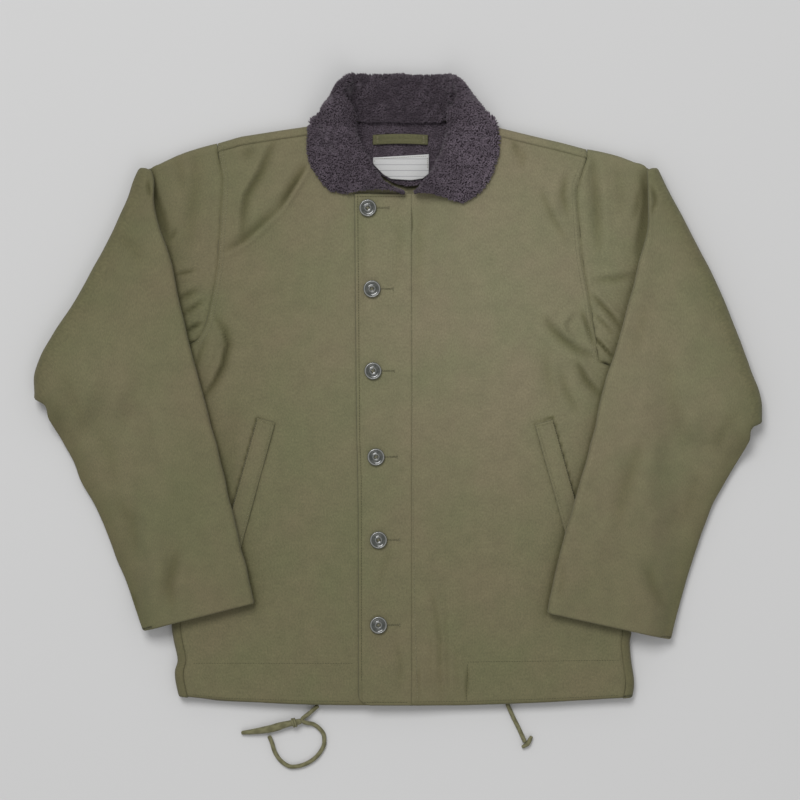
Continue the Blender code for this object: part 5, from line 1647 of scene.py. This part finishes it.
bars = [[(x, y), (x + 0.3 * (n % 2), y + 10.0)] for x, y in LOOP_ENDS for n in (0, 1)]
bars += [[(x + 1.2, y), (x + 1.2, y + 10.0)] for x, y in LOOP_ENDS]
stitches("stitches_loop", bars, over_loop, pitch=2.2, long=2.1, thick=0.42)
over_label = surface_over(["cloth_label"])
stitches("stitches_label", [[(-35.5, 657.0), (27.0, 660.6)], [(-35.8, 656), (-35.8, 653)],
                            [(27.4, 659), (27.6, 644)]], over_label, pitch=2.6, long=1.8,
         thick=0.3)

# %% [markdown]
# A soft, even studio: a big light above the head of the jacket, a weaker one at its foot
# and a pale floor.

# %% Floor and light
deselect()
bpy.ops.mesh.primitive_plane_add(size=14.0, location=(0.0, 0.0, -0.0004))
floor = bpy.context.object
floor.name = "floor"
paper, tree, shader = finish("grey paper", roughness=0.95, specular=0.05)
shader.inputs["Base Color"].default_value = (0.560, 0.560, 0.560, 1.0)
floor.data.materials.append(paper)
floor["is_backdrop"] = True

LIGHTS = [("key", (-1.4, 3.3, 5.7), 3.0, 278.0), ("fill", (1.2, -4.2, 5.4), 4.6, 60.0)]
for name, place, size, power in LIGHTS:
    lamp = bpy.data.lights.new(name, "AREA")
    lamp.size = size
    lamp.energy = power
    made = in_scene(name, lamp)
    made.location = place
    made.rotation_euler = (Vector((0, 0, 0)) - Vector(place)).to_track_quat("-Z", "Y").to_euler()
world = bpy.data.worlds.new("world")
world.use_nodes = True
world.node_tree.nodes["Background"].inputs["Color"].default_value = (1.0, 1.0, 1.0, 1.0)
world.node_tree.nodes["Background"].inputs["Strength"].default_value = 0.50
bpy.context.scene.world = world

# %% [markdown]
# Each cloth piece is listed with how wide and long it was cut, and its cut area is printed
# beside the area it lies as. The numbers are the cut of what shows: a sleeve is cut all
# round, and the back, its yoke and its shoulders are parts of one panel.

# %% Cuts of the cloth
CUTS = [
    (back_low, 0.600, 0.460, 0.262, "laid", ["floor"]),
    (back_high, 0.530, 0.315, 0.130, "laid", ["floor"]),
    (shoulders[0], 0.142, 0.062, 0.0070, "folded", ["cloth_back_yoke"]),
    (shoulders[1], 0.136, 0.062, 0.0070, "folded", ["cloth_back_yoke"]),
    (fronts["right"], 0.285, 0.735, 0.190, "laid", ["cloth_back"]),
    (fronts["left"], 0.275, 0.735, 0.180, "laid", ["cloth_back"]),
    (sleeves["right"], 0.530, 0.720, 0.250, "folded", ["cloth_front_right"]),
    (sleeves["left"], 0.530, 0.740, 0.255, "folded", ["cloth_front_left"]),
    (placket, 0.065, 0.620, None, "laid", ["cloth_front_right"]),
    (welts["right"], 0.023, 0.173, None, "laid", ["cloth_front_right"]),
    (welts["left"], 0.023, 0.165, None, "laid", ["cloth_front_left"]),
    (label, 0.067, 0.031, 0.0017, "laid", ["lining_backing"]),
    (loop, 0.012, 0.067, None, "laid", ["lining_backing"]),
    (collar_back, 0.600, 0.130, 0.045, "folded", ["cloth_front_right", "cloth_front_left"]),
    (lining, 0.140, 0.078, 0.0075, "laid", ["cloth_back_yoke"]),
]
for piece, width, length, area, held, under in CUTS:
    shown_area = sum(face.area for face in piece.data.polygons) / 2
    print(f"{piece.name}: cut {area or width * length:.4f}, lies as {shown_area:.4f} square metres")

# %% [markdown]
# The box of what shows is written beside the solids' own, so that the two can be compared.

# %% Measure
visual_box = [list(corner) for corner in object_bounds()]
print("cad", cad_box, "visual", visual_box)
shown = [made for made in bpy.data.objects if made.type == "MESH" and not made.hide_render]
print("triangles", sum(len(p.vertices) - 2 for made in shown for p in made.data.polygons))
